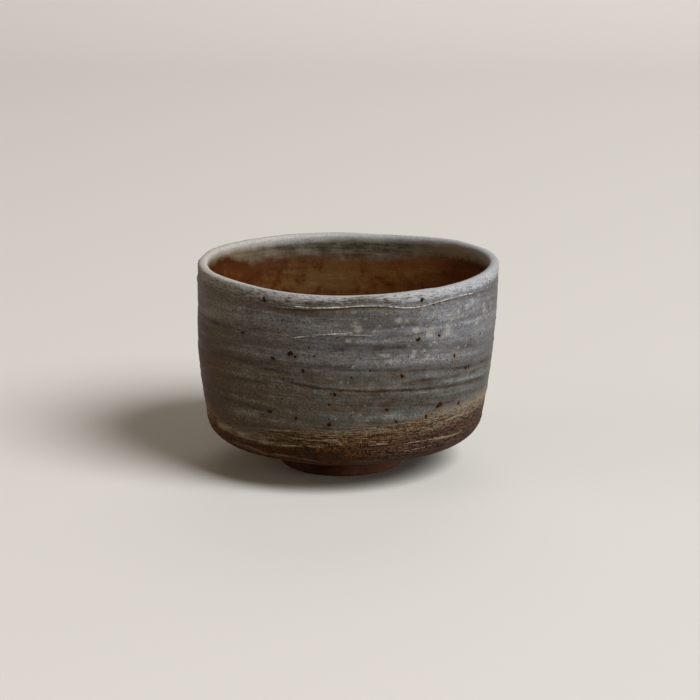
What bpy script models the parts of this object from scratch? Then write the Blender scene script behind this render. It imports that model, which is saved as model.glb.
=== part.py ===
"""A hand-thrown stoneware tea bowl: the clay body, its luted foot ring and the coats fired onto it."""

import math

import bmesh
import bpy
from mathutils import Vector
from mathutils.geometry import interpolate_bezier

# Overall sizes in metres
RIM_DIAMETER = 0.120
HEIGHT = 0.0831
LIP_THICKNESS = 0.0036

# Clay body
HIP_DIAMETER = 0.1088
HIP_HEIGHT = 0.0149
HIP_ROUNDING = 0.0095
UPRIGHT_HEIGHT = 0.0480
WALL_ROUNDING = 0.200
WALL_THICKNESS = 0.0048
HIP_THICKNESS = 0.0050
FLOOR_THICKNESS = 0.0065
FLOOR_RISE = 0.0025
INNER_ROUNDING = 0.0200

# Foot ring
FOOT_DIAMETER = 0.0498
FOOT_WIDTH = 0.0062
FOOT_HEIGHT = 0.0052
FOOT_TAPER = 0.0005
FOOT_EDGE = 0.0005
RECESS_DOME = 0.0010

# Coats and joints
GLAZE = 0.0005
SLIP = 0.0004
LUTING = 0.0006
FIT_GAP = 0.0003
GLAZE_LINE = 0.0250
GLAZE_LINE_SLANT = 0.0055
GLAZE_LINE_TURN = math.radians(-40)
INNER_LAP = 0.0090
BARE_RING = 0.0012

# Unevenness of the hand-thrown shape
LEAN = 0.0020
FOOT_SHIFT = 0.0006
RIM_WAVE = 0.0010
RIM_WAVE_TURN = math.radians(-11)
COLLAR = 0.0003
COLLAR_DEPTH = 0.030

# Fineness of the round shapes
AROUND = 40
ARC_STEP = math.radians(6)
BEND_WEIGHT = 0.010
BODY_STEPS = 36
OUTER_STEPS = 18
INNER_STEPS = 15
SLIP_STEPS = 10
RING_STEPS = 3
SHARP_ANGLE = math.radians(40)
SAME_POINT = 0.000002

# Fired colour and roughness of each material
STONEWARE_CLAY = (0.27, 0.13, 0.07), 0.85
BARE_CLAY = (0.25, 0.105, 0.06), 0.9
LUTING_CLAY = (0.20, 0.09, 0.05), 0.9
IRON_SLIP = (0.10, 0.05, 0.025), 0.65
ASH_GLAZE = (0.17, 0.15, 0.12), 0.55
LINER_GLAZE = (0.12, 0.05, 0.02), 0.4

SKIN = FIT_GAP + GLAZE
RIM_RADIUS = RIM_DIAMETER / 2 - SKIN
CLAY_TOP = HEIGHT - SKIN
CLAY_LIP = LIP_THICKNESS - 2 * SKIN
FOOT_RADIUS = FOOT_DIAMETER / 2


def clay_corners():
    """Corners of the clay's half outline, each with its rounding, from under its middle to its floor."""
    hip_radius = HIP_DIAMETER / 2
    floor = FOOT_HEIGHT + RECESS_DOME + FLOOR_THICKNESS
    return [
        (0, FOOT_HEIGHT + RECESS_DOME, 0),
        (FOOT_RADIUS, FOOT_HEIGHT, 0),
        (hip_radius, HIP_HEIGHT, HIP_ROUNDING),
        (RIM_RADIUS, UPRIGHT_HEIGHT, WALL_ROUNDING),
        (RIM_RADIUS, CLAY_TOP, CLAY_LIP / 2),
        (RIM_RADIUS - CLAY_LIP, CLAY_TOP, CLAY_LIP / 2),
        (RIM_RADIUS - WALL_THICKNESS, UPRIGHT_HEIGHT, WALL_ROUNDING),
        (hip_radius - HIP_THICKNESS, floor + FLOOR_RISE, INNER_ROUNDING),
        (0, floor, 0),
    ]


def rounded(corners):
    """Points along the line through the corners, each corner replaced by an arc of its rounding."""
    line = []
    last = len(corners) - 1
    for number, (radius, height, rounding) in enumerate(corners):
        corner = Vector((radius, height))
        if rounding == 0:
            line.append(corner)
            continue
        back = Vector(corners[number - 1][:2]) - corner
        on = Vector(corners[number + 1][:2]) - corner
        turn = math.pi - back.angle(on)
        # A side between two rounded corners is shared by their arcs
        room = min(
            back.length / (2 if number > 1 else 1),
            on.length / (2 if number + 1 < last else 1),
        )
        reach = min(rounding * math.tan(turn / 2), room)
        # Handles of this length make the curve follow a round arc
        handle = reach - reach / math.tan(turn / 2) * math.tan(turn / 4) * 4 / 3
        start, end = (corner + side.normalized() * reach for side in (back, on))
        near, far = (corner + side.normalized() * handle for side in (back, on))
        count = max(2, math.ceil(turn / ARC_STEP)) + 1
        line += [point.to_2d() for point in interpolate_bezier(start, near, far, end, count)]
    return line


class Outline:
    """The clay's outline, with places along it that lie closer together where it bends."""

    def __init__(self, line):
        self.points = [a for a, b in zip(line, line[1:]) if (b - a).length > SAME_POINT] + line[-1:]
        sides = [(b - a).normalized() for a, b in zip(self.points, self.points[1:])]
        self.places = [0.0]
        self.normals = [Vector((0, -1))]
        for number, (before, after) in enumerate(zip(sides, sides[1:] + sides[-1:])):
            bend = before.angle(after)
            step = (self.points[number + 1] - self.points[number]).length
            self.places.append(self.places[-1] + step + BEND_WEIGHT * bend)
            mean = (before + after).normalized()
            self.normals.append(Vector((mean.y, -mean.x)) / math.cos(bend / 2))
        # On the axis the floor faces straight up
        self.normals[-1] = Vector((0, 1))
        self.end = self.places[-1]

    def at(self, place, out=0.0):
        """The (radius, height) at a place, moved out from the clay."""
        number = 0
        while number < len(self.places) - 2 and self.places[number + 1] < place:
            number += 1
        share = (place - self.places[number]) / (self.places[number + 1] - self.places[number])
        point = self.points[number].lerp(self.points[number + 1], share)
        return point + self.normals[number].lerp(self.normals[number + 1], share) * out

    def crossing(self, axis, value, rising):
        """The first place where the radius (axis 0) or the height (axis 1) passes a value."""
        sign = 1 if rising else -1
        for number, (a, b) in enumerate(zip(self.points, self.points[1:])):
            if sign * a[axis] <= sign * value < sign * b[axis]:
                share = (value - a[axis]) / (b[axis] - a[axis])
                return self.places[number] + share * (self.places[number + 1] - self.places[number])
        raise ValueError("the outline does not reach this value")

    def run(self, start, end, steps, out):
        """Points between two places, at one distance out from the clay."""
        return [self.at(start + (end - start) * step / steps, out) for step in range(steps + 1)]


def smooth(share):
    share = min(max(share, 0), 1)
    return share * share * (3 - 2 * share)


def by_hand(radius, angle, height):
    """A point of the round shape as the hand left it: leaning, waved at the rim and swollen on one side."""
    raised = smooth((height - HIP_HEIGHT) / (HEIGHT - HIP_HEIGHT))
    low = 1 - smooth((height - FOOT_HEIGHT) / (HIP_HEIGHT - FOOT_HEIGHT))
    collar = smooth(1 - (HEIGHT - height) / COLLAR_DEPTH) * (1 + math.cos(angle)) / 2
    spread = 1 + collar * COLLAR / RIM_RADIUS
    shift = LEAN * (1 - height / HEIGHT) + FOOT_SHIFT * low
    wave = RIM_WAVE * math.cos(2 * (angle - RIM_WAVE_TURN)) * raised
    return Vector((
        radius * spread * math.cos(angle) - shift,
        radius * spread * math.sin(angle),
        height + wave,
    ))


def fired(name, colour, roughness):
    material = bpy.data.materials.new(name)
    material.use_nodes = True
    shader = material.node_tree.nodes["Principled BSDF"]
    shader.inputs["Base Color"].default_value = (*colour, 1)
    shader.inputs["Roughness"].default_value = roughness
    shader.inputs["Metallic"].default_value = 0
    return material


def skinned(name, section_at, closed, material):
    """A solid skinned over the sections that section_at gives at each angle round the axis."""
    shape = bmesh.new()
    rings = []
    for number in range(AROUND):
        angle = 2 * math.pi * number / AROUND
        places = (by_hand(radius, angle, height) for radius, height in section_at(angle))
        rings.append([shape.verts.new(place) for place in places])
    for ring, after in zip(rings, rings[1:] + rings[:1]):
        for step in range(len(ring) if closed else len(ring) - 1):
            on = (step + 1) % len(ring)
            shape.faces.new((ring[step], after[step], after[on], ring[on]))
    bmesh.ops.remove_doubles(shape, verts=shape.verts, dist=SAME_POINT)
    bmesh.ops.recalc_face_normals(shape, faces=shape.faces)
    mesh = bpy.data.meshes.new(name)
    shape.to_mesh(mesh)
    shape.free()
    mesh.materials.append(material)
    mesh.shade_smooth()
    mesh.set_sharp_from_angle(angle=SHARP_ANGLE)
    piece = bpy.data.objects.new(name, mesh)
    bpy.context.scene.collection.objects.link(piece)
    return piece


def glaze_line(angle):
    """Height of the outer glaze's lower edge, which runs lower on the left."""
    return GLAZE_LINE + GLAZE_LINE_SLANT * math.cos(angle - GLAZE_LINE_TURN)


def coat(outline, start, end, steps, thickness):
    """Closed section of a coat that lies over the clay between two places."""
    under = outline.run(start, end, steps, FIT_GAP)
    over = outline.run(start, end, steps, FIT_GAP + thickness)
    return under + over[::-1]


def make_body(outline):
    section = outline.run(0, outline.end, BODY_STEPS, 0)
    clay = fired("stoneware_clay", *STONEWARE_CLAY)
    return skinned("clay_body", lambda angle: section, False, clay)


def make_outer_glaze(outline):
    lap = outline.crossing(1, HEIGHT - INNER_LAP, False)

    def section_at(angle):
        start = outline.crossing(1, glaze_line(angle) + FIT_GAP / 2, True)
        return coat(outline, start, lap, OUTER_STEPS, GLAZE)

    return skinned("outer_glaze", section_at, True, fired("ash_glaze", *ASH_GLAZE))


def make_inner_glaze(outline):
    start = outline.crossing(1, HEIGHT - INNER_LAP - FIT_GAP, False)
    under = outline.run(start, outline.end, INNER_STEPS, FIT_GAP)
    over = outline.run(start, outline.end, INNER_STEPS, SKIN)
    section = under[::-1] + over
    liner = fired("liner_glaze", *LINER_GLAZE)
    return skinned("inner_glaze", lambda angle: section, False, liner)


def make_hip_slip(outline):
    start = outline.crossing(0, FOOT_RADIUS + BARE_RING, True)

    def section_at(angle):
        end = outline.crossing(1, glaze_line(angle) - FIT_GAP / 2, True)
        return coat(outline, start, end, SLIP_STEPS, SLIP)

    return skinned("hip_slip", section_at, True, fired("iron_slip", *IRON_SLIP))


def make_luting(outline, inner, outer):
    section = coat(outline, inner, outer, RING_STEPS, LUTING)
    return skinned("luting_slip", lambda angle: section, True, fired("luting_clay", *LUTING_CLAY))


def make_foot(outline, inner, outer):
    top = outline.run(inner, outer, RING_STEPS, FIT_GAP + LUTING + FIT_GAP)
    bore = FOOT_RADIUS - FOOT_WIDTH
    base = [
        (FOOT_RADIUS, FOOT_EDGE),
        (FOOT_RADIUS - FOOT_EDGE, 0),
        (bore + FOOT_EDGE, 0),
        (bore, FOOT_EDGE),
    ]
    section = top + base
    return skinned("foot_ring", lambda angle: section, True, fired("bare_clay", *BARE_CLAY))


def make_bowl():
    outline = Outline(rounded(clay_corners()))
    ring_inner = outline.crossing(0, FOOT_RADIUS - FOOT_WIDTH - FOOT_TAPER, True)
    ring_outer = outline.crossing(0, FOOT_RADIUS - FOOT_TAPER, True)
    body = make_body(outline)
    others = (
        make_foot(outline, ring_inner, ring_outer),
        make_luting(outline, ring_inner, ring_outer),
        make_hip_slip(outline),
        make_outer_glaze(outline),
        make_inner_glaze(outline),
    )
    for piece in others:
        piece.parent = body


for old in list(bpy.data.objects):
    bpy.data.objects.remove(old)
make_bowl()
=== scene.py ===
import math

import bpy
import numpy as np
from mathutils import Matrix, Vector
from mathutils.geometry import interpolate_bezier


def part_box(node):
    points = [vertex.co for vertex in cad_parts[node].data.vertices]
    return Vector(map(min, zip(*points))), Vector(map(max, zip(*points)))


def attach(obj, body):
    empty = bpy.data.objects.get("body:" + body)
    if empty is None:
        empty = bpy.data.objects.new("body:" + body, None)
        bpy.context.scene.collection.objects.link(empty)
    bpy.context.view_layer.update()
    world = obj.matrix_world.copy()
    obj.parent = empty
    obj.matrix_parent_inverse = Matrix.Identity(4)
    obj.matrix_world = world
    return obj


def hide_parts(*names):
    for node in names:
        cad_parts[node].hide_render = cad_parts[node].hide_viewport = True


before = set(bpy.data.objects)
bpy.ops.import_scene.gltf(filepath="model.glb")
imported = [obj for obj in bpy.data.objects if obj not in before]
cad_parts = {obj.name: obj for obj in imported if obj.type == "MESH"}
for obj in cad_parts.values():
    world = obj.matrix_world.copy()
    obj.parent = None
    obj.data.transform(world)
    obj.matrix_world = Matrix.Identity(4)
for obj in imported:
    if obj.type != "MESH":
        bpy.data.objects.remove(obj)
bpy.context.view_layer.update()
mm = 0.001
fullTurn = 2 * math.pi
print("frame loaded:", sorted(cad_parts))

# The round shape under the coats, with the sizes of the solids
glazeLow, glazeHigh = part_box("outer_glaze")
footLow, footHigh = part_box("foot_ring")
coat = dict(gap=0.3 * mm, glaze=0.5 * mm, slip=0.4 * mm)
skin = coat["gap"] + coat["glaze"]
slipSkin = coat["gap"] + coat["slip"]
hand = dict(
    lean=2.0 * mm,
    footShift=0.6 * mm,
    rimWave=1.0 * mm,
    rimTurn=math.radians(-11),
    collar=0.3 * mm,
    collarDepth=30 * mm,
    lipFade=12 * mm,  # the lip's own ups and downs fade out over this
    lipRipples=[(0.22, 11, mm, 3), (0.11, 31, mm, 4)],
)
height = glazeHigh.z - hand["rimWave"]
footRadius = (footHigh.y - footLow.y) / 2
clay = dict(
    rimRadius=(glazeHigh.y - glazeLow.y - hand["collar"]) / 2 - skin,
    top=height - skin,
    lip=2.0 * mm,
    hipRadius=54.4 * mm,
    hipHeight=14.9 * mm,
    hipRounding=9.5 * mm,
    uprightHeight=48 * mm,
    wallRounding=200 * mm,
    wall=4.8 * mm,
    hipWall=5.0 * mm,
    floor=6.5 * mm,
    floorRise=2.5 * mm,
    innerRounding=20 * mm,
    footHeight=5.2 * mm,
    dome=1.0 * mm,
)
glazeEdge = dict(height=25.0 * mm, slant=5.5 * mm, turn=math.radians(-40))
innerLap = 9.0 * mm
bareRing = 1.2 * mm


def smooth(share):
    share = np.clip(share, 0, 1)
    return share * share * (3 - 2 * share)


def between(under, over, share):
    return under + (over - under) * share


# One well under the given level, nought above it: the level and its softness in millimetres
def below(level, top, soft):
    return smooth((top * mm - level) / (soft * mm))


# Degrees round the bowl, counted so that they run on through the given middle
def degreesNear(turn, middle):
    return (np.degrees(turn) - middle + 180) % 360 - 180 + middle


# Share of a stretch round the bowl: where it starts, how slowly it rises, where it ends, how slowly it falls
def stretch(turn, start, rise, end, fall):
    here = degreesNear(turn, (start + end) / 2)
    return smooth((here - start) / rise) * smooth((end - here) / fall)


# Value at each turn from a row of degrees and a row of values
def atTurn(turn, degrees, values):
    return np.interp(np.degrees(turn), degrees, values, period=360)


def clayCorners():
    floor = clay["footHeight"] + clay["dome"] + clay["floor"]
    return [
        (0, clay["footHeight"] + clay["dome"], 0),
        (footRadius, clay["footHeight"], 0),
        (clay["hipRadius"], clay["hipHeight"], clay["hipRounding"]),
        (clay["rimRadius"], clay["uprightHeight"], clay["wallRounding"]),
        (clay["rimRadius"], clay["top"], clay["lip"] / 2),
        (clay["rimRadius"] - clay["lip"], clay["top"], clay["lip"] / 2),
        (clay["rimRadius"] - clay["wall"], clay["uprightHeight"], clay["wallRounding"]),
        (clay["hipRadius"] - clay["hipWall"], floor + clay["floorRise"], clay["innerRounding"]),
        (0, floor, 0),
    ]


# Half outline with its corners rounded, from under the middle over the lip to the floor
def roundedLine(corners, arcPoints=60):
    points = []
    last = len(corners) - 1
    for number, (radius, level, rounding) in enumerate(corners):
        corner = Vector((radius, level))
        if not rounding:
            points.append(corner)
            continue
        back = Vector(corners[number - 1][:2]) - corner
        on = Vector(corners[number + 1][:2]) - corner
        turn = math.pi - back.angle(on)
        room = min(back.length / (2 if number > 1 else 1), on.length / (2 if number + 1 < last else 1))
        reach = min(rounding * math.tan(turn / 2), room)
        handle = reach - reach / math.tan(turn / 2) * math.tan(turn / 4) * 4 / 3
        ends = [corner + side.normalized() * reach for side in (back, on)]
        pulls = [corner + side.normalized() * handle for side in (back, on)]
        points += interpolate_bezier(ends[0], pulls[0], pulls[1], ends[1], arcPoints)
    return np.array([(point.x, point.y) for point in points])


# The outline at even steps, with its direction outward at each
def measuredLine(points, step=0.05 * mm, shortest=1e-7):
    length = np.hypot(*np.diff(points, axis=0).T)
    points = points[np.r_[True, length > shortest]]
    along = np.r_[0, np.cumsum(np.hypot(*np.diff(points, axis=0).T))]
    way = np.linspace(0, along[-1], int(along[-1] / step))
    radius = np.interp(way, along, points[:, 0])
    level = np.interp(way, along, points[:, 1])
    outward, upward = np.gradient(radius), np.gradient(level)
    size = np.hypot(outward, upward)
    return dict(way=way, radius=radius, level=level, normalOut=upward / size, normalUp=-outward / size)


line = measuredLine(roundedLine(clayCorners()))
lowest = int(np.argmin(line["level"]))
crest = int(np.argmax(line["level"]))
hipPart = lowest + 200  # steps of the line from under the middle to a little past the foot
crestWay = line["way"][crest]
wayEnd = line["way"][-1]


def lineAt(way):
    return [np.interp(way, line["way"], line[key]) for key in ("radius", "level", "normalOut", "normalUp")]


def wayOutside(level):
    return np.interp(level, line["level"][lowest:crest], line["way"][lowest:crest])


def wayInside(level):
    return np.interp(level, line["level"][:crest:-1], line["way"][:crest:-1])


def wayUnder(radius):
    return np.interp(radius, line["radius"][:hipPart], line["way"][:hipPart])


lapWay = float(wayInside(height - innerLap))


# A smooth random field round the wall: cells in a full turn, and their height along the wall
def wander(turn, way, around, cell, seed, longest=0.3):
    rows = int(longest / cell) + 3
    table = np.random.default_rng(seed).uniform(-1, 1, (rows, around))
    across = turn / fullTurn % 1 * around
    up = way / cell
    column, row = np.floor(across).astype(int), np.floor(up).astype(int)
    fadeAcross, fadeUp = smooth(across - column), smooth(up - row)
    column, row = np.broadcast_arrays(column, row)

    def rowOf(row):
        here, on = table[row % rows, column % around], table[row % rows, (column + 1) % around]
        return between(here, on, fadeAcross)

    return between(rowOf(row), rowOf(row + 1), fadeUp)


# Sum of random fields: strength, cells in a full turn, their height and the seed of each
def fieldSum(turn, way, entries):
    return sum(strength * wander(turn, way, *field) for strength, *field in entries)


def smoothPath(points):
    spots = [Vector(point) for point in points]
    spots = [2 * spots[0] - spots[1]] + spots + [2 * spots[-1] - spots[-2]]
    path = []
    for before, start, end, after in zip(spots, spots[1:], spots[2:], spots[3:]):
        path += interpolate_bezier(start, start + (end - before) / 6, end - (after - start) / 6, end, 12)
    return np.array([(point.x, point.y) for point in path]).T


# The lip rises and falls round the bowl: degrees and millimetres
lipLine = smoothPath([
    (-163, -0.8), (-148, 0.15), (-128, 0.35), (-104, -0.3), (-75, 0), (-60, 0), (-45, -0.65), (10, -0.4),
    (26, -0.25), (38, 0.05), (52, -0.4), (74, -0.85), (95, -0.6), (124, -0.9), (155, -1.2), (180, -1.0),
])


# A point of the round shape as the hand left it
def byHand(radius, turn, level):
    raised = smooth((level - clay["hipHeight"]) / (height - clay["hipHeight"]))
    low = 1 - smooth((level - clay["footHeight"]) / (clay["hipHeight"] - clay["footHeight"]))
    collar = smooth(1 - (height - level) / hand["collarDepth"]) * (1 + np.cos(turn)) / 2
    spread = 1 + collar * hand["collar"] / clay["rimRadius"]
    shift = hand["lean"] * (1 - level / height) + hand["footShift"] * low
    wave = hand["rimWave"] * np.cos(2 * (turn - hand["rimTurn"])) * raised
    lipShape = fieldSum(turn, 0, hand["lipRipples"]) + atTurn(turn, *lipLine)
    wave = wave + lipShape * mm * smooth(1 - (height - level) / hand["lipFade"])
    return np.stack([
        radius * spread * np.cos(turn) - shift,
        radius * spread * np.sin(turn),
        level + wave,
    ], axis=-1)


def wallPoint(way, turn, lift):
    radius, level, normalOut, normalUp = lineAt(way)
    return byHand(np.maximum(radius + normalOut * lift, 0), turn, level + normalUp * lift)


def glazeLevel(turn):
    return glazeEdge["height"] + glazeEdge["slant"] * np.cos(turn - glazeEdge["turn"])


# A linked piece, smooth, with a value at each of its points for every mark
def newPiece(name, places, faces, marks):
    mesh = bpy.data.meshes.new(name)
    mesh.from_pydata(places, [], faces)
    for label, values in marks.items():
        layer = mesh.attributes.new(label, "FLOAT", "POINT")
        layer.data.foreach_set("value", np.array(values, np.float32))
    mesh.shade_smooth()
    piece = bpy.data.objects.new(name, mesh)
    bpy.context.scene.collection.objects.link(piece)
    return piece


# The rows of a grid in one list; with poles the first and the last row are one point each
def flatGrid(field, poles):
    body = field[1:-1] if poles else field
    body = body.reshape(-1, *field.shape[2:])
    return np.concatenate([field[0, :1], body, field[-1, :1]]) if poles else body


# Piece over a grid of places; the rows run along the section, the columns round the bowl
def gridPiece(name, grid, marks, loop=False, poles=False):
    rows, columns = grid.shape[:2]
    index = np.arange(rows * columns).reshape(rows, columns)
    if poles:
        index = np.clip(index - columns + 1, 0, (rows - 2) * columns + 1)
    following = np.roll(index, -1, axis=0)
    if not loop:
        index, following = index[:-1], following[:-1]
    quads = np.stack([index, np.roll(index, -1, 1), np.roll(following, -1, 1), following], -1)
    faces = quads.reshape(-1, 4).tolist()
    if poles:
        faces[:columns] = [(face[0], face[2], face[3]) for face in faces[:columns]]
        faces[-columns:] = [(face[0], face[1], face[2]) for face in faces[-columns:]]
    marks = {label: flatGrid(field, poles) for label, field in marks.items()}
    piece = newPiece(name, flatGrid(grid, poles).tolist(), faces, marks)
    bakeMap(piece.data, faces, len(index), columns)
    return piece


# Two half turns lie one above the other, so that the map is about as fine both ways
def bakeMap(mesh, faces, rows, columns, margin=0.01):
    half = columns // 2
    corners = {4: ((0, 0), (1, 0), (1, 1), (0, 1)), 3: ((0.5, 0), (1, 1), (0, 1))}
    spots = []
    for number, face in enumerate(faces):
        row, column = divmod(number, columns)
        upper, column = divmod(column, half)
        for across, up in corners[len(face)]:
            spots.append(margin + (1 - 2 * margin) * (column + across) / half)
            spots.append(upper / 2 + margin + (0.5 - 2 * margin) * (row + up) / rows)
    mesh.uv_layers.new(name="OFBake").data.foreach_set("uv", spots)


# A coat: its face with the marks, and its hidden back without them
def coatPiece(name, face, back, marks, poles=False):
    order = -1 if poles else 1
    blank = np.zeros(back.shape[:2])
    grid = np.concatenate([face, back][::order])
    marks = {label: np.concatenate([field, blank][::order]) for label, field in marks.items()}
    return gridPiece(name, grid, marks, loop=not poles, poles=poles)


def turnRows(columns, rows=1):
    return np.broadcast_to(np.linspace(0, fullTurn, columns, endpoint=False), (rows, columns))


def wayRows(start, end, rows):
    return start + (end - start) * np.linspace(0, 1, rows)[:, None]


# How strongly a mark drawn along a path of (degrees, millimetres) is felt at each place
def strokeShare(turn, level, path, width, fade):
    degrees, levels = smoothPath(path)
    here = degreesNear(turn, (degrees[0] + degrees[-1]) / 2)
    ends = smooth((here - degrees[0]) / fade) * smooth((degrees[-1] - here) / fade)
    away = (level / mm - np.interp(here, degrees, levels)) / width
    return np.exp(-away * away) * ends


# What a list of strokes adds at each place, one sum for each key
def drawn(strokes, keys, turn, level, broken, fade):
    sums = [np.zeros(level.shape) for key in keys]
    for entry in strokes:
        share = strokeShare(turn, level, entry["path"], entry["width"], fade) * broken
        sums = [part + share * entry[key] for part, key in zip(sums, keys)]
    return sums


# Throwing mark: width and relief in millimetres, tone, warmth, then its path in degrees and millimetres up;
# the tone is partly painted light and shade, darker in grooves and under the raised line below the lip, paler
# on raised rings
def stroke(width, relief, tone, warm, *path):
    return dict(path=path, width=width, relief=relief, tone=tone, warm=warm)


# Turning line near the foot: width, relief, how pale or dark it is, then its path
def trimStroke(width, relief, line, *path):
    return dict(path=path, width=width, relief=relief, line=line)


# Thin ridge that stands proud of its coat: width and height in millimetres, then its path
def ridgeStroke(width, rise, *path):
    return dict(path=path, width=width, rise=rise)


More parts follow.
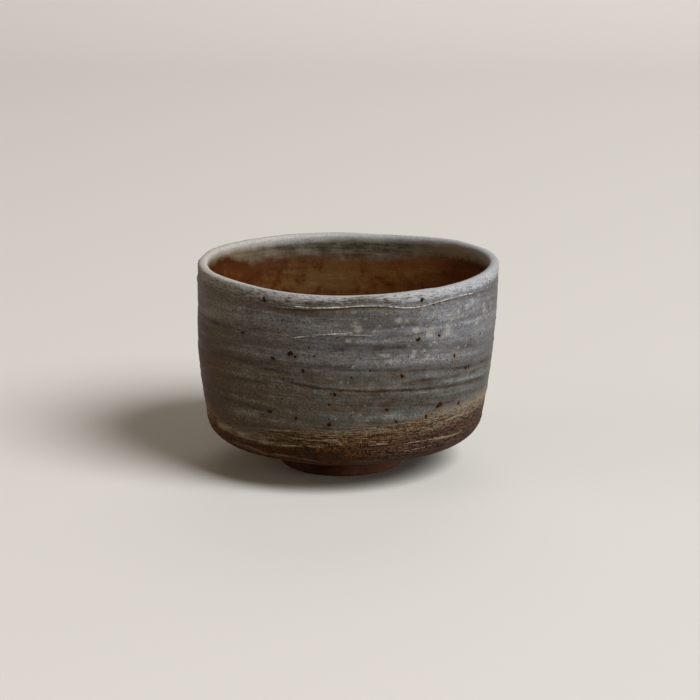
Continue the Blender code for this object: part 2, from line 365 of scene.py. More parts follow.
throwMarks = [
    stroke(0.3, 0.36, 1.8, 0.1, (-122, 77.1), (-110, 77.7), (-93, 78.9), (-82, 79.4), (-68, 77.7),
           (-49, 78.1), (-34, 77.5), (-20, 77.1)),
    # painted shadow under the raised line below the lip
    stroke(0.9, -0.32, -1.5, 0.6, (-126, 75.8), (-96, 77.9), (-82, 78.4), (-68, 76.8), (-59, 76.5)),
    stroke(0.25, -0.14, -1.2, 0.6, (-97, 81.1), (-84, 81.5), (-70, 81.0)),
    stroke(0.3, 0.28, 2.2, 0.4, (-109, 66.7), (-103, 67.6), (-96, 68.2), (-88, 67.9), (-76, 66.8)),
    stroke(0.5, 0.12, 0.5, 0.0, (-106, 70.6), (-96, 71.4), (-86, 71.2)),
    stroke(0.9, -0.24, -1.1, -0.2, (-78, 70.4), (-55, 68.8), (-42, 67.9), (-10, 64.9)),
    stroke(1.5, -0.26, -2.2, -0.1, (-100, 63.0), (-80, 62.4), (-62, 60.5), (-51, 58.7), (-30, 56)),
    stroke(1.3, -0.1, -0.8, 0.0, (-114, 74.6), (-96, 75.7), (-82, 75.5), (-70, 74.4), (-58, 73.2)),
    stroke(1.6, -0.14, -2.0, 0.1, (-108, 48.2), (-98, 48.5), (-86, 48.3), (-71, 47.3), (-61, 46.5),
           (-50, 45.3)),
    stroke(1.0, 0.1, 0.5, 0.0, (-50, 43.4), (-35, 42.4), (-18, 41.6)),
    stroke(1.1, -0.08, -0.9, 0.0, (-100, 43), (-85, 43.4), (-70, 42.2)),
    stroke(1.5, 0.08, 0.0, -0.3, (-86, 36.2), (-70, 35.8), (-58, 34.9), (-49, 35.1), (-34, 36),
           (-20, 37)),
    stroke(1.5, 0.06, 1.0, 0.0, (-126, 65.4), (-116, 67.4), (-106, 68.4)),
    stroke(1.5, 0.06, 1.0, 0.0, (-120, 54.2), (-109, 55.6), (-98, 56.2)),
    stroke(1.8, 0.06, 0.7, 0.0, (-64, 73.6), (-54, 71.8), (-42, 69.6)),
    stroke(1.3, -0.06, -0.8, 0.2, (-146, 49.6), (-136, 51.2), (-122, 52)),
    stroke(1.5, 0.1, 1.5, -0.2, (-166, 65.6), (-149, 68), (-140, 70), (-127, 72.3), (-112, 73.6),
           (-98, 74)),
    stroke(1.5, 0.08, 0.8, -0.1, (-146, 30), (-128, 32.9), (-116, 34.6), (-102, 35.6)),
    stroke(0.9, 0.16, 0.6, 0.0, (-90, 64.4), (-66, 63.6), (-40, 62.4)),
    stroke(0.9, -0.3, -2.0, 0.2, (-98, 54), (-90, 53.8), (-78, 53.0), (-66, 51.8), (-57, 50.9),
           (-38, 48.2), (-27, 47.4), (-6, 44.8)),
    stroke(1.1, 0.18, 0.5, -0.1, (-80, 56.2), (-70, 55.6), (-44, 53.2), (-24, 52)),
    stroke(0.6, -0.3, -2.2, 0.3, (-116, 48.2), (-106, 46.9), (-91, 45.3), (-70, 44.1), (-52, 42.6),
           (-32, 41.1), (-15, 39.4)),
    stroke(0.5, 0.1, 0.2, 0.0, (-112, 48.9), (-91, 46.5), (-70, 45.3), (-52, 44.4), (-20, 41.8)),
    stroke(0.8, -0.3, -2.0, 0.1, (-66, 47.5), (-50, 46.2), (-32, 44.8), (-14, 43.4)),
    stroke(1.2, 0.1, 0.6, -0.2, (-62, 39.8), (-44, 39.4), (-22, 39.2)),
    stroke(0.9, -0.1, -0.7, 0.1, (-100, 37.6), (-84, 36.8), (-66, 36.4)),
    stroke(1.3, 0.1, 1.2, -0.3, (-104, 35.2), (-88, 34.6), (-76, 34.1), (-50, 33.2)),
    stroke(1.0, 0.2, 1.2, 0.0, (-172, 51), (-158, 53.4), (-138, 56.9), (-123, 56.8), (-106, 56)),
    stroke(1.1, -0.24, -1.6, 0.2, (-172, 49.6), (-150, 53), (-136, 53.3), (-123, 51.9), (-108, 51.2),
           (-94, 50.6)),
    stroke(0.9, 0.2, 1.2, 0.0, (-172, 43.6), (-150, 46.5), (-131, 47.4), (-110, 47.8)),
    stroke(1.0, -0.2, -1.4, 0.1, (-172, 41.4), (-158, 43.6), (-141, 45.2), (-118, 46)),
    stroke(0.9, 0.2, 1.2, 0.0, (-164, 36.8), (-149, 37.6), (-134, 37.8), (-120, 36.9), (-106, 34)),
    stroke(0.9, -0.22, -1.5, 0.1, (-166, 34.9), (-150, 35.6), (-134, 35.4), (-118, 34)),
    stroke(0.9, 0.1, 1.3, 0.0, (-172, 69), (-160, 70.9), (-148, 72.3), (-130, 74.2), (-114, 75.6)),
    stroke(0.8, -0.14, -0.9, 0.1, (-172, 67), (-158, 69.2), (-146, 70)),
    stroke(1.0, 0.14, 1.6, 0.0, (-172, 64.8), (-160, 66.9), (-136, 67.6), (-118, 69)),
    stroke(1.4, -0.16, -0.9, 0.2, (-170, 61.2), (-138, 63), (-124, 61.4)),
    stroke(1.0, 0.14, -0.3, 0.0, (-166, 58.6), (-133, 59.4), (-102, 58.4)),
    stroke(0.7, 0.12, -0.2, 0.0, (-168, 39.6), (-140, 40.8), (-112, 40.2)),
    stroke(0.9, 0.12, 0.7, -0.1, (-164, 32), (-140, 31.6), (-114, 30.8)),
    stroke(2.2, -0.05, -1.2, 0.1, (-98, 68.6), (-85, 69.2), (-64, 67.4)),
    stroke(1.2, -0.05, -1.2, 0.1, (-118, 64.6), (-106, 65.7), (-92, 65.6), (-82, 65.2)),
    stroke(3.0, -0.03, -0.5, 0.0, (-92, 72.8), (-76, 72), (-58, 69.4)),
    stroke(1.6, -0.05, -0.9, 0.1, (-128, 52.2), (-115, 51.6), (-102, 51.4)),
    stroke(1.3, -0.05, -0.9, 0.1, (-130, 59.8), (-116, 58.9), (-106, 58.2)),
    stroke(1.2, -0.05, -0.7, 0.0, (-68, 58.6), (-54, 57.8), (-42, 56.4)),
    stroke(1.4, -0.05, -0.6, 0.0, (-54, 51.8), (-40, 49.8), (-28, 48)),
    stroke(1.1, -0.05, -1.5, 0.1, (-100, 39.3), (-80, 38.8), (-64, 37.4), (-51, 36), (-36, 35.4)),
    stroke(2.6, 0.05, 1.4, 0.0, (-150, 33), (-128, 32.4), (-112, 31.3), (-98, 31)),
    stroke(1.3, 0.05, 1.4, -0.2, (-98, 34.4), (-76, 33.4), (-54, 32.6)),
    stroke(3.0, 0.05, 1.3, 0.0, (-164, 68), (-148, 70), (-136, 71), (-122, 71.4)),
    stroke(1.2, -0.05, -0.7, 0.0, (-94, 56.8), (-85, 56.5), (-74, 56.3)),
    stroke(0.8, 0.1, 1.6, -0.2, (-50, 44.9), (-41, 43.7), (-30, 42.4), (-16, 41.3)),
    stroke(0.9, -0.1, -0.9, 0.1, (-130, 49.6), (-125, 50.3), (-120, 50.5), (-110, 49.6)),
    stroke(0.7, -0.1, -1.6, 0.3, (-124, 79.6), (-113, 80.2), (-104, 79.9), (-92, 80.5)),
]
# The far side carries marks of the same kind: the least and the most of each measure
farMarks = dict(
    count=34,
    seed=21,
    start=(-6, 156),
    reach=(35, 95),
    level=(33, 79),
    slope=(-1.6, 1.6),
    width=(0.35, 0.9),
    relief=(0.1, 0.35),
    tone=(0.6, 1.3),
    warm=(0, 0.3),
)


def farThrowMarks():
    draw = np.random.default_rng(farMarks["seed"])
    marks = []

    def pick(*keys):
        return [draw.uniform(*farMarks[key]) for key in keys]

    for number in range(farMarks["count"]):
        start, reach, level, slope = pick("start", "reach", "level", "slope")
        sign = draw.choice([-1, 1])
        width, relief, tone, warm = pick("width", "relief", "tone", "warm")
        path = [(start, level), (start + reach / 2, level + slope), (start + reach, level + slope / 2)]
        marks.append(stroke(width, sign * relief, sign * tone, warm, *path))
    return marks


allMarks = throwMarks + farThrowMarks()
# Finger rings lie in planes that tilt a little, highest at one turn
rings = dict(tilt=4.2 * mm, highTurn=math.radians(-105))
throwLook = dict(
    ringRelief=[(0.12, 6, 3.6 * mm, 11), (0.06, 13, 1.7 * mm, 12), (0.035, 37, 0.7 * mm, 13)],
    ringTone=[(0.6, 6, 3.6 * mm, 11), (0.4, 13, 1.7 * mm, 12), (0.3, 37, 0.7 * mm, 13)],
    wallRelief=[(0.24, 9, 16 * mm, 14), (0.08, 34, 5 * mm, 15), (0.025, 260, 1.1 * mm, 16)],
    wallWarm=[(0.3, 7, 12 * mm, 17)],
    broken=[(0.3, 70, 2 * mm, 18), (0.2, 160, 3 * mm, 22)],
    whole=0.7,
    calm=0.6,  # the wall is this much smoother above calmLevel
    calmLevel=70 * mm,
    calmSoft=7 * mm,
    toneLimits=(-2.0, 2.4),
    fade=9.0,
)


# Relief, tone and warmth that the potter's fingers left on the wall; the tone is partly the glaze's own
# banding and partly painted light and shade on the rings
def throwing(turn, way, level):
    look = throwLook
    ring = level - rings["tilt"] * np.cos(turn - rings["highTurn"])
    relief = fieldSum(turn, ring, look["ringRelief"]) + fieldSum(turn, way, look["wallRelief"])
    relief = relief * (1 - look["calm"] * smooth((level - look["calmLevel"]) / look["calmSoft"]))
    broken = look["whole"] + fieldSum(turn, way, look["broken"])
    raised, toned, warmed = drawn(allMarks, ("relief", "tone", "warm"), turn, level, broken, look["fade"])
    tone = np.clip(fieldSum(turn, ring, look["ringTone"]) + toned, *look["toneLimits"])
    return (relief + raised) * mm, tone, fieldSum(turn, way, look["wallWarm"]) + warmed


# Level of the raised line that runs under the lip
def rimLine(turn):
    return atTurn(turn, *smoothPath(throwMarks[0]["path"])) * mm


# Spots by a seeded draw: degrees, millimetres up, millimetres across
def scattered(settings):
    draw = np.random.default_rng(settings["seed"])
    spots = []
    for number in range(settings["count"]):
        degrees = draw.uniform(*settings["degrees"])
        level = draw.uniform(*settings["levels"])
        spots.append((degrees, level, between(*settings["sizes"], draw.random() ** settings["fewLarge"])))
    return spots


# Distance along the wall from a spot
def awayFrom(turn, level, degrees, spotLevel):
    across = (turn - math.radians(degrees) + math.pi) % fullTurn - math.pi
    return np.hypot(across * clay["rimRadius"], level - spotLevel * mm)


# Pale drops of ash on the shoulder: degrees, millimetres up, millimetres across
frontDrops = [
    (-50, 65.1, 4.4), (-58, 66.0, 4.6), (-86, 70.4, 3.4), (-37, 74.2, 3.2), (-40, 72.6, 3.0),
    (-71, 72.6, 2.6), (-88, 71.6, 2.2), (-64, 67.9, 3.0), (-65, 57.8, 2.4), (-59, 56.6, 2.4),
    (-62, 55.0, 1.8), (-27, 67.9, 3.6), (-33, 65.4, 3.2), (-80, 68.8, 2.0), (-28, 70.5, 2.4),
    (-45, 71.6, 2.6), (-75, 59.1, 1.8), (-48, 69.4, 2.4), (-56, 73.6, 2.2), (-92, 49.1, 1.4),
]
dropScatter = dict(count=90, seed=8, degrees=(-92, -10), levels=(55, 78), sizes=(0.7, 2.0), fewLarge=2)
dropLook = dict(edge=1.2, soft=0.7, least=0.45, perSize=0.12, most=0.75)


def ashDrops(turn, level):
    share = np.zeros(turn.shape)
    for degrees, dropLevel, size in frontDrops + scattered(dropScatter):
        away = awayFrom(turn, level, degrees, dropLevel) / (size * mm / 2)
        strong = min(dropLook["most"], dropLook["least"] + dropLook["perSize"] * size)
        share = np.maximum(share, strong * smooth((dropLook["edge"] - away) / dropLook["soft"]))
    return share


# Iron specks that came through the glaze: degrees, millimetres up, millimetres across
frontSpecks = [
    (-122, 79.5, 1.2), (-111, 59.7, 1.5), (-109, 58.6, 0.8), (-118, 56.9, 1.0), (-106, 53.1, 1.0),
    (-94, 44.1, 1.0), (-120, 34.7, 1.1), (-63, 64.1, 1.2), (-46, 54.7, 1.0), (-38, 48.1, 1.2),
    (-36, 48.0, 0.9), (-69, 50.3, 1.0), (-51, 35.6, 1.9), (-57, 31.9, 1.0), (-70, 31.6, 0.9),
    (-96, 31.3, 1.2), (-40, 34.1, 1.2), (-132, 64.7, 0.9), (-62, 79.5, 1.0), (-88, 50.9, 0.7),
    (-109, 33.2, 0.9), (-74, 36.8, 0.9), (-54, 64.2, 0.8), (-96, 39.7, 0.8),
]
speckScatter = dict(count=130, seed=5, degrees=(-180, 180), levels=(27, 81), sizes=(0.45, 1.15), fewLarge=2.5)
speckFront = dict(start=-165, end=-15, shrink=0.6)  # drawn specks are smaller among those listed
speckRust = dict(least=0.75, drop=0.25, reach=1.05)  # only larger specks have a halo, a little below them


def speckList():
    specks = list(frontSpecks)
    for degrees, level, size in scattered(speckScatter):
        inFront = speckFront["start"] < degrees < speckFront["end"]
        specks.append((degrees, level, size * (speckFront["shrink"] if inFront else 1)))
    return specks


specks = speckList()


def speckHalo(turn, level):
    halo = np.zeros(level.shape)
    for degrees, speckLevel, size in specks:
        if size >= speckRust["least"]:
            away = awayFrom(turn, level, degrees, speckLevel - speckRust["drop"] * size)
            halo = np.maximum(halo, np.exp(-(away / (speckRust["reach"] * size * mm)) ** 2))
    return halo


# Where the grey ends and where the brown begins: degrees, and millimetres above the edge of the glaze coat
greyEdge = [
    (-174, 7.0), (-163, 6.8), (-158, 5.0), (-152, 2.6), (-144, 0.6), (-130, -0.8), (-112, 2.0), (-96, 0.5),
    (-84, 0.3), (-66, 0.4), (-50, 2.8), (-38, 3.6), (-26, 3.2), (0, 2.4), (40, 1.5), (110, 1.0), (160, 4.0),
]
brownEdge = [
    (-170, -0.5), (-157, -0.8), (-150, -2.6), (-142, -4.0), (-122, -5.5), (-104, -5.7), (-88, -6.1),
    (-68, -5.1), (-49, -4.2), (-22, -2.0), (10, -2.5), (60, -3.5), (120, -3.0),
]
# Stretches of the border with a tone of their own
borderStretches = dict(grainy=(-74, 38, 40, 60), amber=(140, 30, 224, 18), plum=(-104, 40, 60, 60))
amberShare = dict(grainy=0.28, amber=0.8)


def aboveEdge(turn, level, edge):
    return (level - glazeLevel(turn)) / mm - atTurn(turn, *np.array(edge).T)


# Marks shared by the glaze and the slip where they meet
def borderMarks(turn, level, trimLine):
    marks = {name: stretch(turn, *entry) for name, entry in borderStretches.items()}
    marks["amber"] = np.maximum(*[share * marks[name] for name, share in amberShare.items()])
    marks["greyUp"] = aboveEdge(turn, level, greyEdge)
    marks["brownUp"] = aboveEdge(turn, level, brownEdge)
    marks["trimLine"] = np.clip(trimLine, -1, 2)
    return marks


trimMarks = [
    trimStroke(0.32, 0.14, 1.3, (-119, 20.5), (-108, 21.4), (-95, 21.7)),
    trimStroke(0.32, 0.14, 1.0, (-83, 22.2), (-79, 22.3), (-70, 22.2)),
    trimStroke(0.36, 0.14, 1.1, (-66, 21.7), (-56, 21.7), (-42, 20.9), (-30, 21.4)),
    trimStroke(0.45, 0.1, 0.6, (-138, 17.9), (-124, 17.5), (-114, 17.2)),
    trimStroke(0.4, 0.1, 0.6, (-121, 18.2), (-108, 16.4), (-97, 15.0)),
    trimStroke(1.7, 0.12, 2.6, (-156, 23), (-148, 22.7), (-142, 22.2), (-131, 21.8), (-125, 21.6),
               (-116, 21)),
    trimStroke(0.6, -0.1, -1.4, (-168, 23.8), (-160, 23.7), (-149, 24.3), (-138, 25.2), (-128, 25.6)),
    trimStroke(1.0, -0.16, -1.6, (-152, 19.2), (-138, 19.3), (-131, 19), (-119, 18.9), (-108, 18.9),
               (-88, 18)),
    trimStroke(0.6, 0.1, 1.0, (-148, 17.4), (-140, 17.9), (-135, 17.5), (-129, 17.2), (-122, 15.8)),
    trimStroke(0.5, 0.1, 0.9, (-146, 17), (-142, 16.7), (-133, 15.9), (-124, 16.1), (-112, 16.6)),
    trimStroke(0.3, 0.1, 0.5, (-124, 26.2), (-107, 27.6), (-90, 27.9)),
    trimStroke(0.3, 0.1, 0.4, (-124, 24.4), (-107, 25.7), (-90, 26.0)),
    trimStroke(0.3, 0.1, 0.4, (-122, 23.0), (-107, 24.2), (-90, 24.5)),
    trimStroke(0.34, -0.08, -0.9, (-126, 25.3), (-107, 26.6), (-90, 27.0)),
    trimStroke(0.34, -0.08, -0.9, (-126, 23.8), (-107, 25.0), (-90, 25.3)),
    trimStroke(0.5, -0.08, -0.8, (-126, 22.0), (-107, 22.9), (-90, 23.2)),
    trimStroke(0.32, -0.1, -1.0, (-106, 29.8), (-94, 29.2), (-84, 28.8), (-72, 29.2), (-62, 29.8)),
    trimStroke(1.6, -0.05, -0.8, (-96, 20.4), (-84, 20.6), (-70, 20.9)),
    trimStroke(0.8, 0.08, 0.5, (-90, 14.7), (-75, 16.1), (-66, 16.7), (-56, 18)),
    trimStroke(0.32, -0.14, -1.0, (-84, 26.4), (-68, 27.3), (-59, 27.9), (-38, 29.3)),
    trimStroke(0.3, -0.12, -0.9, (-70, 24.3), (-52, 25.0), (-26, 26.0)),
    trimStroke(0.3, -0.1, -0.8, (-66, 23.0), (-48, 23.4), (-24, 24.2)),
    trimStroke(0.4, -0.1, -0.7, (-62, 19.6), (-46, 19.3), (-26, 19.6)),
    trimStroke(0.4, 0.14, 0.9, (6, 21), (60, 20.2), (110, 18.8)),
    trimStroke(0.4, -0.12, -0.9, (20, 23.6), (70, 22.8), (120, 21.6)),
    trimStroke(0.4, 0.14, 0.9, (90, 16.8), (140, 16.2), (185, 17.5)),
    trimStroke(0.4, -0.12, -0.9, (110, 19.4), (150, 18.4), (196, 19.4)),
]
trimLook = dict(whole=0.7, broken=[(0.6, 90, 2.2 * mm, 55)], fade=5.0)


# Relief in millimetres and tone of the turning lines
def trimming(turn, way, level):
    broken = np.clip(trimLook["whole"] + fieldSum(turn, way, trimLook["broken"]), 0, 1)
    return drawn(trimMarks, ("relief", "line"), turn, level, broken, trimLook["fade"])


# Where grey turns brown inside: degrees, and millimetres below the lap of the two glazes
greyEnds = [
    (-150, -2.5), (-60, -2.5), (0, -3.4), (22, -3.6), (40, -3.2), (54, -1.2), (65, 1.3), (80, 1.7),
    (96, 2.0), (106, 1.0), (114, -0.8), (126, 0.4), (137, 0.8), (154, -4.4), (180, -5.0),
]
liner = dict(
    endWaves=[(0.7, 19, mm, 33)],
    lines=[(0.6, 6, 4.5 * mm, 45), (0.4, 19, 1.6 * mm, 46)],
    pool=(20, 6),  # millimetres up, and how soft the start is
    deep=(71, 16),
    # the last stretch is the right of the inside, where the grey is painted lighter as painted light
    stretches=dict(beige=(110, 50, 234, 50), ochrePatch=(38, 24, 138, 24), paintedLitOlive=(-54, 50, 74, 50)),
)


# Marks of the inside, shared by the two glazes that meet there
def linerMarks(turn, way):
    level = lineAt(way)[1]
    greyEnd = atTurn(turn, *np.array(greyEnds).T) + fieldSum(turn, 0, liner["endWaves"])
    return dict(
        linerLine=fieldSum(turn, way, liner["lines"]),
        lapUp=greyEnd + (lapWay - way) / mm,
        pool=below(level, *liner["pool"]),
        deep=below(level, *liner["deep"]),
        rustSide=leftShare(turn),
        **{name: stretch(turn, *entry) for name, entry in liner["stretches"].items()},
    )


# Nought on the right of the bowl, one on its left
def leftShare(turn):
    return 0.5 - 0.5 * np.cos(turn)


# How far the pale lip, partly a painted highlight, runs down inside and outside: degrees, and millimetres
# from the crest
lipReach = [
    (-170, 1.3, 1.5), (-150, 1.2, 1.0), (-136, 1.2, 0.65), (-110, 1.4, 0.5), (-80, 1.6, 0.55),
    (-56, 1.6, 1.1), (-30, 1.8, 1.4), (0, 2.4, 1.2), (24, 2.4, 1.0), (42, 2.0, 0.9),
    (90, 2.2, 0.9), (104, 2.8, 0.9), (137, 2.8, 1.0), (180, 1.9, 1.4),
]


# Share of the way from the crest of the lip to the end of its pale tone
def lipDepth(turn, way):
    degrees, inReach, outReach = np.array(lipReach).T
    inside = (way - crestWay) / mm / atTurn(turn, degrees, inReach)
    outside = (crestWay - way) / mm / atTurn(turn, degrees, outReach)
    return np.maximum(inside, np.maximum(outside, 0) ** 2)


outerGlaze = dict(
    rows=240,
    columns=400,
    backRows=6,
    lipRows=1.6,  # how much denser the rows get at the lip
    lipShare=0.855,
    lipSpread=0.05,
    edgeTaper=1.5 * mm,
    edgeLift=0.62 * mm,
    lapTaper=9 * mm,
    lapLift=0.5 * mm,
    backLift=0.1 * mm,
    lipSquare=0.4 * mm,  # the lip is flatter than a half round, with more glaze on its two corners
    lipCorner=0.4 * clay["lip"],
    lipCornerSoft=clay["lip"] / 4,
    crustSoft=2 * mm,
    crust=[(0.13, 190, 1.1 * mm, 19), (0.08, 80, 2 * mm, 20)],
    outsideSoft=3 * mm,
    insideSoft=2 * mm,
    insideRelief=0.35,
    insideTone=0.4,
    rimStart=(0.4 * mm, 2.1 * mm),  # above the raised line, and where the pale band is low
    rimSoft=(3.2 * mm, 1.6 * mm),
    rimEnd=1.2 * mm,
)
# Stretches of the wall with a tone of their own, or with painted shade: the shaded left, the low far left and
# the right edge
wallStretches = dict(
    toRight=(-86, 40, 30, 40),
    # the right edge, darkened as painted shade where the wall turns from the light
    rightEdge=(-42, 30, 20, 30),
    # the left side, where painted warm shade goes
    shaded=(110, 60, 265, 60),
    # painted warm shade: the low far left of the wall, which lies in shade
    toasted=(130, 50, 232, 34),
    # where the pale band under the lip is full; towards the left it is dimmed as painted shade
    inFront=(-126, 46, 170, 80),
    lowPale=(-146, 22, -60, 22),
    smoothRim=(-72, 30, 60, 40),
)
# Levels of the wall's tones and of its painted shade with their softness in millimetres, and shares of single
# tones
wallTones = dict(
    lowWall=(62, 26),
    shoulder=(66, 16),
    shade=(66, 20),
    # level of the painted warm shade on the far left
    toast=(70, 16),
    highShade=0.35,
    # share of the pale band on the left, dimmed as painted shade
    rimBehind=0.55,
    crustLoss=0.55,
    edgeLoss=0.8,
    coolRight=1.5,
)


# Rows from the lower edge of the glaze over the lip to the lap inside, closer together at the lip
def glazeRows(low):
    rows = outerGlaze["rows"]
    even = np.linspace(0, 1, rows)
    near = (even - outerGlaze["lipShare"]) / outerGlaze["lipSpread"]
    dense = 1 / (1 + outerGlaze["lipRows"] * np.exp(-near * near))
    share = np.interp(even, np.cumsum(dense) / np.sum(dense), even)
    return low + (lapWay - low) * share[:, None]


# Marks of the glaze outside and over the lip
def glazeMarks(turn, way, level, tone, warm, trimLine, crust, outside):
    look = wallTones
    on = {name: stretch(turn, *entry) for name, entry in wallStretches.items()}
    rimStart = rimLine(turn) + between(*outerGlaze["rimStart"], on["lowPale"])
    rimShare = smooth((level - rimStart) / between(*outerGlaze["rimSoft"], on["lowPale"]))
    rimShare = rimShare * smooth((crestWay - way) / outerGlaze["rimEnd"])
    lowWall = below(level, *look["lowWall"])
    # shoulder: the upper right made paler and cooler, partly the glaze's paler ash and partly painted key
    # light with a cool sheen; the right edge is taken out of it as painted shade
    shoulder = on["toRight"] * (1 - below(level, *look["shoulder"])) - look["edgeLoss"] * on["rightEdge"]
    marks = borderMarks(turn, np.where(way < crestWay, level, height), trimLine * outside)
    marks.update(linerMarks(turn, way))
    marks.update(
        tone=tone * between(outerGlaze["insideTone"], 1, outside),
        warm=warm,
        halo=speckHalo(turn, level) * outside,
        lipDepth=lipDepth(turn, way),
        crust=crust * (1 - look["crustLoss"] * on["smoothRim"]),
        inside=smooth((way - crestWay) / outerGlaze["insideSoft"]),
        shoulder=shoulder * outside,
        # the pale band under the lip is dimmer on the left: painted shade
        rimBand=between(look["rimBehind"], 1, on["inFront"]) * rimShare,
        lowWall=lowWall,
        lowWarm=lowWall * (1 - look["coolRight"] * on["toRight"]) * outside,
        drops=ashDrops(turn, level) * outside,
        # painted shade on the left: warmer, with more contrast, most of it low on the wall
        leftShade=on["shaded"] * outside * between(look["highShade"], 1, below(level, *look["shade"])),
        # painted warm shade low on the far left
        toast=on["toasted"] * below(level, *look["toast"]) * outside,
        leftSide=leftShare(turn),
    )
    return marks


def outerGlazePiece():
    look = outerGlaze
    turn = turnRows(look["columns"])
    low = wayOutside(glazeLevel(turn) + coat["gap"] / 2)
    way = glazeRows(low)
    backWay = wayRows(lapWay, low, look["backRows"])
    back = wallPoint(backWay, np.broadcast_to(turn, backWay.shape), look["backLift"])
    turn = np.broadcast_to(turn, way.shape)
    level = lineAt(way)[1]
    outside = smooth((crestWay - way) / look["outsideSoft"])
    relief, tone, warm = throwing(turn, way, level)
    trimRelief, trimLine = trimming(turn, way, level)
    crust = smooth((level - rimLine(turn)) / look["crustSoft"]) * smooth((crestWay - way) / mm)
    relief = (relief + trimRelief * mm) * between(look["insideRelief"], 1, outside)
    relief = relief + crust * fieldSum(turn, way, look["crust"]) * mm
    corner = (np.abs(way - crestWay) - look["lipCorner"]) / look["lipCornerSoft"]
    lift = skin + relief + look["lipSquare"] * np.exp(-corner * corner)
    lift = between(look["edgeLift"], lift, smooth((way - low) / look["edgeTaper"]))
    lift = between(look["lapLift"], lift, smooth((lapWay - way) / look["lapTaper"]))
    marks = glazeMarks(turn, way, level, tone, warm, trimLine, crust, outside)
    return coatPiece("outerGlaze", wallPoint(way, turn, lift), back, marks)


innerGlaze = dict(
    rows=190,
    columns=320,
    backRows=48,
    runUnder=5 * mm,
    taper=11 * mm,
    edgeLift=0.4 * mm,
    backLift=0.1 * mm,
    calmMiddle=9 * mm,
    relief=[
        (0.16, 5, 5.2 * mm, 41), (0.06, 11, 2.1 * mm, 42), (0.16, 8, 17 * mm, 43), (0.03, 90, 1.6 * mm, 44),
    ],
)


def innerGlazePiece():
    look = innerGlaze
    start = lapWay - look["runUnder"]
    turn = turnRows(look["columns"], look["rows"])
    backTurn = turnRows(look["columns"], look["backRows"])
    way = np.broadcast_to(wayRows(start, wayEnd, look["rows"]), turn.shape)
    backWay = np.broadcast_to(wayRows(wayEnd, start, look["backRows"]), backTurn.shape)
    relief = fieldSum(turn, way, look["relief"]) * mm * smooth(lineAt(way)[0] / look["calmMiddle"])
    lift = between(look["edgeLift"], skin + relief, smooth((way - start) / look["taper"]))
    back = wallPoint(backWay, backTurn, look["backLift"])
    return coatPiece("innerGlaze", wallPoint(way, turn, lift), back, linerMarks(turn, way), poles=True)


hipSlip = dict(
    rows=220,
    columns=400,
    backRows=5,
    runUnder=1.6 * mm,
    taper=1.2 * mm,
    footLift=0.3 * mm,
    edgeLift=0.45 * mm,
    backLift=0.05 * mm,
    relief=[
        (0.07, 9, 0.75 * mm, 51), (0.07, 5, 1.9 * mm, 52), (0.05, 30, 4 * mm, 53), (0.025, 240, 0.9 * mm, 54),
    ],
    lines=[(0.3, 9, 0.75 * mm, 51)],
)


def hipRelief(turn, way, level):
    trimRelief, trimLine = trimming(turn, way, level)
    relief = fieldSum(turn, way, hipSlip["relief"]) + trimRelief
    return relief, trimLine + fieldSum(turn, way, hipSlip["lines"])


def hipSlipPiece():
    look = hipSlip
    turn = turnRows(look["columns"])
    start = float(wayUnder(footRadius + bareRing))
    end = wayOutside(glazeLevel(turn)) + look["runUnder"]
    way = wayRows(start, end, look["rows"])
    backWay = wayRows(end, start, look["backRows"])
    back = wallPoint(backWay, np.broadcast_to(turn, backWay.shape), look["backLift"])
    turn = np.broadcast_to(turn, way.shape)
    level = lineAt(way)[1]
    relief, trimLine = hipRelief(turn, way, level)
    lift = between(look["footLift"], slipSkin + relief * mm, smooth((way - start) / look["taper"]))
    lift = between(look["edgeLift"], lift, smooth((end - way) / look["taper"]))
    return coatPiece("hipSlip", wallPoint(way, turn, lift), back, borderMarks(turn, level, trimLine))


clayBody = dict(
    columns=200,
    underRows=60,
    restRows=60,
    underReach=5 * mm,
    underSoft=3 * mm,
    calmMiddle=2.5 * mm,
    spiralStep=2.6 * mm,  # the trimming tool leaves a slow spiral under the foot
    spiralRelief=0.10,
    relief=[(0.06, 7, 1.2 * mm, 61), (0.04, 60, 1.1 * mm, 62)],
)


def clayBodyPiece():
    look = clayBody
    split = float(wayUnder(footRadius + look["underReach"]))
    way = np.r_[np.linspace(0, split, look["underRows"]), np.linspace(split, wayEnd, look["restRows"])[1:]]
    turn = turnRows(look["columns"], len(way))
    way = np.broadcast_to(way[:, None], turn.shape)
    radius = lineAt(way)[0]
    under = smooth((split - way) / look["underSoft"]) * smooth(radius / look["calmMiddle"])
    spiral = np.sin(fullTurn * radius / look["spiralStep"] - turn)
    relief = look["spiralRelief"] * spiral + fieldSum(turn, way, look["relief"])
    marks = dict(spiral=0.5 + 0.5 * spiral * under)
    return gridPiece("clayBody", wallPoint(way, turn, relief * mm * under), marks, poles=True)


footRing = dict(
    columns=260,
    width=6.2 * mm,
    taper=0.5 * mm,
    edge=0.9 * mm,
    topGap=1.2 * mm,
    sideSteps=14,
    edgeSteps=6,
    baseSteps=14,
    topSteps=8,
    paintedFootShade=(90, 70, 290, 50),  # the stretch of painted shade on the left of the foot
    relief=[(0.10, 26, 2.2 * mm, 71), (0.06, 9, 0.8 * mm, 72), (0.05, 130, 0.7 * mm, 73)],
    lines=[(0.5, 9, 0.8 * mm, 72)],
)


